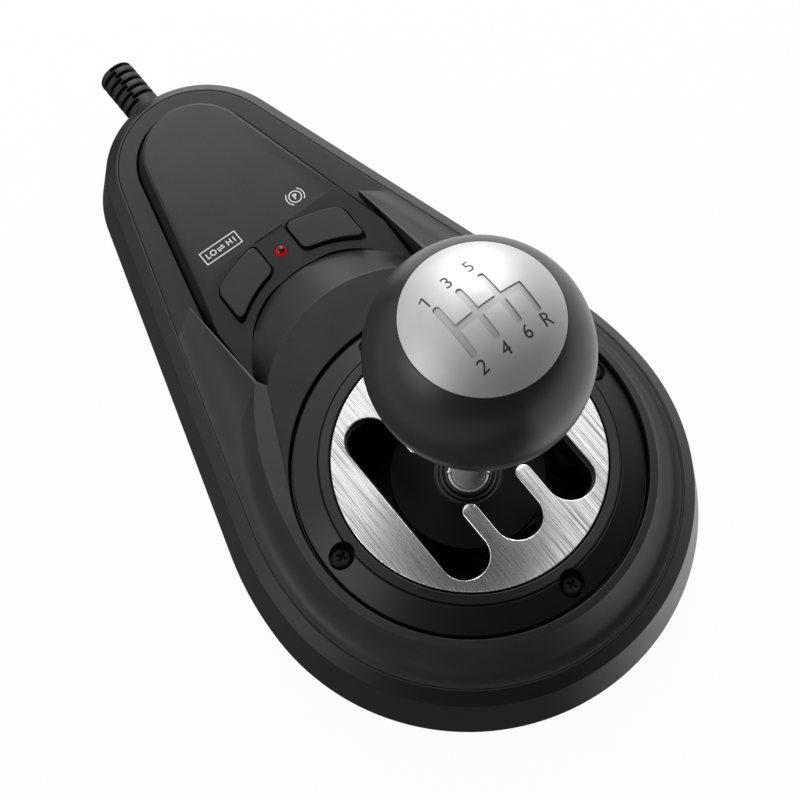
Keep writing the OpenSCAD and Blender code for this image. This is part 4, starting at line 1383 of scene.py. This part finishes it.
    def printed(self, name: str, pieces: Sequence[Workpiece]) -> None:
        """Join the pieces of a printed legend and place it on the panel."""
        first, *others = pieces
        first.obj.name = name
        first.joined(*others).placed(WHITE_INK, "housing")

    def ink(self, loops: Sequence[Loop]) -> Workpiece:
        """Print flat outlines on the panel's top."""
        return Workpiece.plate("ink", loops, self.top - self.ink_t / 2, self.top + self.ink_t / 2)

    def range_legend(self) -> None:
        """Print the low and high range legend in its box."""
        x0, x1, y0, y1, line = -17.2, -6.2, 83.3, 87.25, 0.28
        boxes = [[(x0 + d, y0 + d), (x1 - d, y0 + d), (x1 - d, y1 - d), (x0 + d, y1 - d)]
                 for d in (0.0, line)]
        mid_x, mid_y = (x0 + x1) / 2, (y0 + y1) / 2
        arrow = [(-1.05, 0.16), (1.15, 0.16), (0.45, 0.82), (0.30, 0.66), (0.62, 0.38), (-1.05, 0.38)]
        arrows = [[(mid_x + sign * x, mid_y + sign * y) for x, y in arrow] for sign in (1, -1)]
        words = [Workpiece.lettering("ink", text, 2.25, (x, mid_y, self.top), self.ink_t, 0.035)
                 for text, x in (("L", x0 + 1.6), ("O", x0 + 3.2), ("H", x1 - 2.9), ("I", x1 - 1.35))]
        drawn = [self.ink(boxes), *[self.ink([loop]) for loop in arrows], *words]
        self.printed("range_legend", drawn)

    def brake_legend(self) -> None:
        """Print the parking brake sign: a P in a circle between two arcs."""
        at, circle_r, arc_r, line = (11.8, 85.4), 1.75, 2.55, 0.28
        sign = [self.ink([ring(circle_r, at, 48), ring(circle_r - line, at, 48)])]
        for middle in (0, 180):
            outer = arc(arc_r, middle - 48, middle + 48, at, 16)
            inner = arc(arc_r - line, middle + 48, middle - 48, at, 16)
            sign.append(self.ink([outer + inner]))
        sign.append(Workpiece.lettering("ink", "P", 2.2, (*at, self.top), self.ink_t, 0.05))
        self.printed("brake_legend", sign)


@dataclass
class Lever:
    """The stem, its dust plate and the ball knob with its engraved cap."""

    pivot: float = -30.0
    stem_r: float = 4.15
    dust_r: float = 19.0
    dust_z: float = -12.0
    dust_t: float = 1.2
    collar_r: float = 8.1
    collar_bore: float = 8.3
    knob_r: float = 24.7
    knob_z: float = 63.2
    knob_flat: float = 22.3
    cap_r: float = 17.2
    cap_t: float = 2.0
    insert_r: float = 6.5
    channel_half: float = 0.76
    channel_depth: float = 0.34
    column_top: float = 6.0
    column_foot: float = -7.2
    bar_y: float = -0.65
    columns: tuple[float, float, float, float] = (-7.7, -2.0, 3.7, 8.7)

    def build(self) -> None:
        """Model and place every piece of the lever."""
        self.dust_plate()
        self.stem()
        self.knob()
        self.cap()
        self.numerals()

    def dust_plate(self) -> None:
        """Model the plate under the gate, with a ringed collar and a steel bushing round the stem."""
        bore, top = self.stem_r + 0.3, self.dust_z + self.dust_t
        profile = rounded([
            (self.collar_bore, self.dust_z, 0), (self.dust_r, self.dust_z, 0.2), (self.dust_r, top, 0.3),
            (self.collar_bore, top, 0)], closed=True, steps=4)
        plate = Workpiece.lathe("dust_plate_skin", [*profile, profile[0]], 128)
        plate.placed(GATE_BLACK, "lever", "bezel_plastic", ["dust_plate"])
        steps = []
        for radius, rise in ((self.collar_r, 0.55), (7.0, 1.0), (5.9, 1.45)):
            steps += [(radius, top, 0.15), (radius, top + rise, 0.28), (radius - 0.75, top + rise, 0.28),
                      (radius - 0.75, top, 0.15)]
        profile = rounded([
            (bore, self.dust_z, 0), (self.collar_bore, self.dust_z, 0), (self.collar_bore, top, 0), *steps,
            (bore, top, 0)], closed=True, steps=5)
        Workpiece.lathe("stem_collar", [*profile, profile[0]], 128).placed(COLLAR, "lever")
        profile = rounded([
            (bore - 0.1, top - 0.8, 0), (bore + 0.55, top - 0.8, 0), (bore + 0.55, top + 1.2, 0.27),
            (bore - 0.1, top + 1.2, 0.27)], closed=True, steps=6)
        bushing = Workpiece.lathe("stem_bushing", [*profile, profile[0]], 96)
        head = [(0, -1.0), (0.5, -1.0), (0.5, 0.1), (0.42, 0.28), (0.22, 0.42), (0, 0.46)]
        for angle in (142, 322):
            rivet = Workpiece.lathe("rivet", head, 24)
            bushing.joined(rivet.moved((*polar(bore + 0.35, angle), top + 1.2)))
        bushing.placed(STEM, "lever")

    def stem(self) -> None:
        """Model the steel stem with chamfered ends."""
        foot, head = self.pivot + 12.0, self.knob_z - self.knob_flat + 18.0
        profile = rounded([
            (0, foot, 0), (self.stem_r, foot, 0.5), (self.stem_r, head, 0.5), (0, head, 0)])
        Workpiece.lathe("stem_rod", profile, 96).placed(STEM, "stem", "polished_steel", ["shift_stem"])

    def ball_arc(self, radius: float, start_r: float, end_r: float, steps: int = 48) -> Loop:
        """Return a ball's profile between two radii; a negative start is on its lower half."""
        low = math.degrees(math.acos(abs(start_r) / radius)) * (1 if start_r >= 0 else -1)
        high = math.degrees(math.acos(end_r / radius))
        return arc(radius, low, high, (0.0, self.knob_z), steps)

    @property
    def cap_edge(self) -> float:
        """Height of the ball's surface at the cap's edge."""
        return self.knob_z + math.sqrt(self.knob_r ** 2 - self.cap_r ** 2)

    def knob(self) -> None:
        """Model the ball with a flat foot, a bore for its insert and a seat for the cap."""
        flat_z = self.knob_z - self.knob_flat
        flat_r = math.sqrt(self.knob_r ** 2 - self.knob_flat ** 2)
        seat_r, seat_z = self.cap_r + 0.06, self.cap_edge - self.cap_t
        face = self.ball_arc(self.knob_r, -flat_r - 0.9, seat_r + 0.12, 72)
        profile = [(0, flat_z + 20), (self.insert_r, flat_z + 20), (self.insert_r, flat_z),
                   *rounded([(flat_r - 2, flat_z, 0), (flat_r, flat_z, 1.0), (*face[0], 0)])[1:-1], *face,
                   (seat_r, face[-1][1] - 0.06), (seat_r, seat_z), (0, seat_z)]
        Workpiece.lathe("knob_ball", profile, 160).placed(KNOB, "stem", "knob_plastic", ["knob_body"])

    def dome(self, name: str, radius: float, edge_r: float, seat: float, steps: int = 160) -> Workpiece:
        """Model a round of the ball's curve: its top follows a radius, and its underside is flat.

        Args:
            name: The piece's name.
            radius: Radius of the curve.
            edge_r: Radius of the round's edge.
            seat: Height of the underside.
            steps: Faces round the axis.

        Returns:
            The workpiece.
        """
        face = self.ball_arc(radius, edge_r - 0.18, 0.0, 56)
        profile = [(0, seat), (edge_r, seat), (edge_r, face[0][1] - 0.18), *face[:-1],
                   (0, self.knob_z + radius)]
        return Workpiece.lathe(name, profile, steps)

    def channel(self, x0: float, x1: float, y0: float, y1: float, square: bool = False) -> Workpiece:
        """Start a cutter for one engraved channel, round-ended unless it is square."""
        end = 0.0 if square else self.channel_half * 0.98
        loop = rounded([(x0, y0, end), (x1, y0, end), (x1, y1, end), (x0, y1, end)], closed=True, steps=10)
        return Workpiece.plate("channel", [loop], self.cap_edge - 1, self.knob_z + self.knob_r + 4)

    def cap(self) -> None:
        """Model the metal cap and engrave the shift pattern into its curve."""
        seat, bar, corner = self.cap_edge - self.cap_t, self.bar_y, self.columns[3]
        half, bar_half = self.channel_half, self.channel_half + 0.08
        cutter = self.channel(self.columns[0], corner + half, bar - bar_half, bar + bar_half, True)
        for number, x in enumerate(self.columns):
            top = self.column_top if number < 3 else bar + bar_half - 0.01
            cutter.combined(self.channel(x - half, x + half, self.column_foot, top), Cut.JOIN)
        turn = self.channel(corner - half, corner + half, bar - 2, bar + bar_half - 0.005, True)
        cutter.combined(turn, Cut.JOIN)
        cutter.cut(self.dome("core", self.knob_r - self.channel_depth, self.cap_r + 2, seat - 4, 128))
        cap = self.dome("knob_cap_disc", self.knob_r, self.cap_r, seat)
        made = cap.cut(cutter).placed(CAP, "stem", "cap_aluminium", ["knob_cap"], 25.0)
        # The engraved channels' floors and walls get painted shade.
        self.engrave(made)

    def engrave(self, cap: bpy.types.Object) -> None:
        """Paint the channels' floors and walls darker than the cap: painted shade in the engraving."""
        cap.data.materials.append(CHANNEL_SHADE.material())
        middle = lever_axis() + Vector((0, 0, self.knob_z * MM))
        edge, skin, reach = lever_axis().z + self.cap_edge * MM, 0.1 * MM, 10 * MM
        for face in cap.data.polygons:
            depth = self.knob_r * MM - (face.center - middle).length
            if depth > skin and face.center.z > edge and abs(face.center.x) < reach:
                face.material_index = 1

    def numerals(self) -> None:
        """Print the gear numbers on the cap, bent to its curve."""
        marks = (("3", -2.4, 8.6), ("5", 3.3, 8.8), ("2", -7.6, -9.6), ("4", -1.9, -9.7),
                 ("6", 3.8, -9.4), ("R", 8.9, -9.2))
        size, lift = 4.1, 0.03
        shell = self.dome("shell", self.knob_r + lift, 14.5, self.cap_edge - 1, 128)
        shell.cut(self.dome("core", self.knob_r - lift, 16.0, self.cap_edge - 3, 128))
        tops = self.knob_z + self.knob_r - 3
        letters = [Workpiece.lettering("number", text, size, (x, y, tops), 8.0) for text, x, y in marks]
        one = [(-8.2, 6.9), (-7.85, 6.9), (-7.85, 9.75), (-8.15, 9.75), (-9.05, 9.2), (-9.05, 8.85),
               (-8.2, 9.35)]
        letters.append(Workpiece.plate("number", [one], tops - 4, tops + 4))
        for letter in letters:
            letter.combined(shell.copied("shell_copy"), Cut.COMMON)
        bpy.data.objects.remove(shell.obj)
        letters[0].obj.name = "gear_numbers"
        letters[0].joined(*letters[1:]).placed(DARK_INK, "stem")


@dataclass
class Works:
    """The pieces inside the base, which keep their construction shape, and the wound springs."""

    pivot: float = -30.0

    def build(self) -> None:
        """Dress the inner nodes and wind the springs."""
        dressed = {
            BRACKET: ("front_bracket", "rear_bracket"),
            ZINC: ("bracket_screws", "button_board_screws", "board_screws", "select_yoke"),
            POLISHED: ("select_pins", "shift_axle", "detent_balls", "lever_magnet"),
            CHIP: ("lever_block", "tact_switches", "board_parts", "sensor_chip"),
            MASK: ("button_board", "main_board", "sensor_board"),
            BRASS: ("knob_insert",),
        }
        for finish, nodes in dressed.items():
            for node in nodes:
                self.dress(node, finish)
        self.springs()

    def dress(self, node: str, finish: Finish) -> None:
        """Give a construction node its finish."""
        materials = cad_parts[node].data.materials
        materials.clear()
        materials.append(finish.material())
        LOG.info("%s: dressed as %s", node, finish.name)

    def springs(self) -> None:
        """Wind the torsion springs, the detent springs and the press spring."""
        for number, (side, turn) in enumerate(((1, -90), (-1, 90)), 1):
            spring = Workpiece.coil(f"torsion_spring_{number}", radius=3.3, wire=0.4, length=3.8, turns=4)
            spring.moved((0, side * 26.0, self.pivot), (turn, 0, 0))
            spring.placed(SPRING, "housing", "spring_steel", ["select_springs"])
        for number, (side, turn) in enumerate(((1, 90), (-1, -90)), 1):
            spring = Workpiece.coil(f"detent_spring_{number}", radius=0.85, wire=0.2, length=1.5, turns=3)
            spring.moved((side * 7.7, 4.2, self.pivot), (0, turn, 0))
            spring.placed(SPRING, "yoke", "spring_steel", ["detent_springs"])
        seat, free, solid = self.pivot + 6.0, 6.0, 2.0
        spring = Workpiece.coil("return_spring", radius=3.15, wire=0.35, length=free, turns=5)
        spring.moved((0, 0, seat))
        made = spring.placed(SPRING, "lever", "spring_steel", ["press_spring"])
        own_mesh(made)


@dataclass
class Studio:
    """The floor, the lamps, the white surroundings and the camera."""

    focal_px: float = 2067.8
    image_px: float = 800.0
    sensor: float = 36.0
    eye: tuple[float, float, float] = (-117.76, -124.25, 459.6)
    back: tuple[float, float, float] = (-0.2299, -0.2950, 0.9274)
    floor_size: float = 6.0
    ambient: float = 0.6
    mirrored: float = 1.0
    dim: float = 0.13
    floor_glow: float = 0.97

    def build(self) -> None:
        """Set up the whole studio."""
        bpy.context.scene.view_settings.view_transform = "Standard"
        self.floor()
        self.surroundings()
        self.lamp("rear_softbox", (0.49, 0.70, 0.52), away=1.1, size=(0.8, 1.05), power=11.5)
        self.lamp("left_softbox", (-0.90, 0.15, 0.42), away=1.1, size=(0.7, 0.6), power=2.2)
        self.camera()

    @staticmethod
    def seen(tree: Tree, plain: Operand, mirrored: Operand, camera: float = 1.0) -> Value:
        """Return a strength that depends on what looks at a surface.

        Args:
            tree: The tree that it is made in.
            plain: Strength as a lamp.
            mirrored: Strength in reflections and through glass.
            camera: Strength for the camera.

        Returns:
            The strength.
        """
        path = tree.node("ShaderNodeLightPath")
        glossy, clear, direct = (Value(tree, path.outputs[f"Is {kind} Ray"])
                                 for kind in ("Glossy", "Transmission", "Camera"))
        strength = plain
        for share, high in ((glossy.larger(clear), mirrored), (direct, camera)):
            step = tree.node("ShaderNodeMapRange", {}, {"Value": share, "To Min": strength, "To Max": high})
            strength = Value(tree, step.outputs["Result"])
        return strength

    def floor(self) -> None:
        """Lay a pale floor that glows white to the camera and still takes a shadow; in reflections its glow
        carries a painted shadow, dim in a band on the left.
        """
        bpy.ops.object.select_all(action="DESELECT")
        bpy.ops.mesh.primitive_plane_add(size=self.floor_size)
        floor = bpy.context.object
        floor.name = "floor"
        material = bpy.data.materials.new("floor_paper")
        tree = Tree(material)
        tree.nodes.clear()
        paper = tree.node("ShaderNodeBsdfDiffuse", {}, {"Color": (0.9, 0.9, 0.9, 1)})
        # In reflections the floor's glow is painted dim from x -0.20 m to -0.02 m: a painted shadow; it is
        # bright to the right and further left.
        across = Value(tree, tree.node("ShaderNodeSeparateXYZ", {}, {0: tree.own()}).outputs["X"])
        right = tree.span(across, -0.02, 0.04, self.dim, 1.1)
        left = tree.span(across, -0.09, -0.20, 0.0, 0.55)
        glow = tree.node("ShaderNodeEmission", {}, {"Strength": self.seen(tree, 0.0, right.larger(left))})
        both = tree.node("ShaderNodeMixShader", {}, {
            0: self.seen(tree, 0.0, 1.0, self.floor_glow), 1: paper.outputs[0], 2: glow.outputs[0]})
        tree.node("ShaderNodeOutputMaterial", {}, {"Surface": both.outputs[0]})
        floor.data.materials.append(material)

    def surroundings(self) -> None:
        """Make the surroundings white to the camera, and dimmer in reflections and as a lamp."""
        world = bpy.data.worlds.new("studio_white")
        bpy.context.scene.world = world
        tree = Tree(world)
        along = tree.node("ShaderNodeVectorMath", {"operation": "DOT_PRODUCT"},
                          {0: tree.own(), 1: (0.0, 1.0, 0.0)})
        behind = tree.span(Value(tree, along.outputs["Value"]), -0.65, 0.5, self.dim, 1.0)
        white = tree.nodes["Background"].inputs
        tree.feed(white["Color"], (1, 1, 1, 1))
        tree.feed(white["Strength"], self.seen(tree, behind * self.ambient, behind * self.mirrored))

    def lamp(self, name: str, towards: Sequence[float], away: float, size: Point, power: float) -> None:
        """Hang a soft box that faces the turret.

        Args:
            name: The lamp's name.
            towards: Direction from the turret to the lamp.
            away: Distance from the turret, in metres.
            size: Width and height of the box, in metres.
            power: Power in watts.
        """
        light = bpy.data.lights.new(name, "AREA")
        light.shape = "RECTANGLE"
        light.size, light.size_y = size
        light.energy = power
        lamp = bpy.data.objects.new(name, light)
        bpy.context.scene.collection.objects.link(lamp)
        direction = Vector(towards).normalized()
        lamp.location = lever_axis() + direction * away
        lamp.rotation_euler = direction.to_track_quat("Z", "Y").to_euler()

    def camera(self) -> None:
        """Set the camera at the photograph's viewing angle, level from side to side."""
        data = bpy.data.cameras.new("camera")
        data.sensor_width = self.sensor
        data.lens = self.focal_px / self.image_px * self.sensor
        camera = bpy.data.objects.new("camera", data)
        bpy.context.scene.collection.objects.link(camera)
        back = Vector(self.back).normalized()
        right = Vector((0, 0, 1)).cross(back).normalized()
        turn = Matrix((right, back.cross(right), back)).transposed()
        camera.matrix_world = Matrix.Translation(lever_axis() + Vector(self.eye) * MM) @ turn.to_4x4()
        bpy.context.scene.camera = camera


def main() -> None:
    """Build the studio and every sub-assembly, and note the sizes."""
    logging.basicConfig(level=logging.INFO, format="%(name)s: %(message)s")
    base = Base()
    turret = Turret(base)
    for assembly in (Studio(), base, turret, Deck(base, turret), Lever(), Works()):
        assembly.build()
        LOG.info("%s done", type(assembly).__name__)


if __name__ == "__main__":
    main()
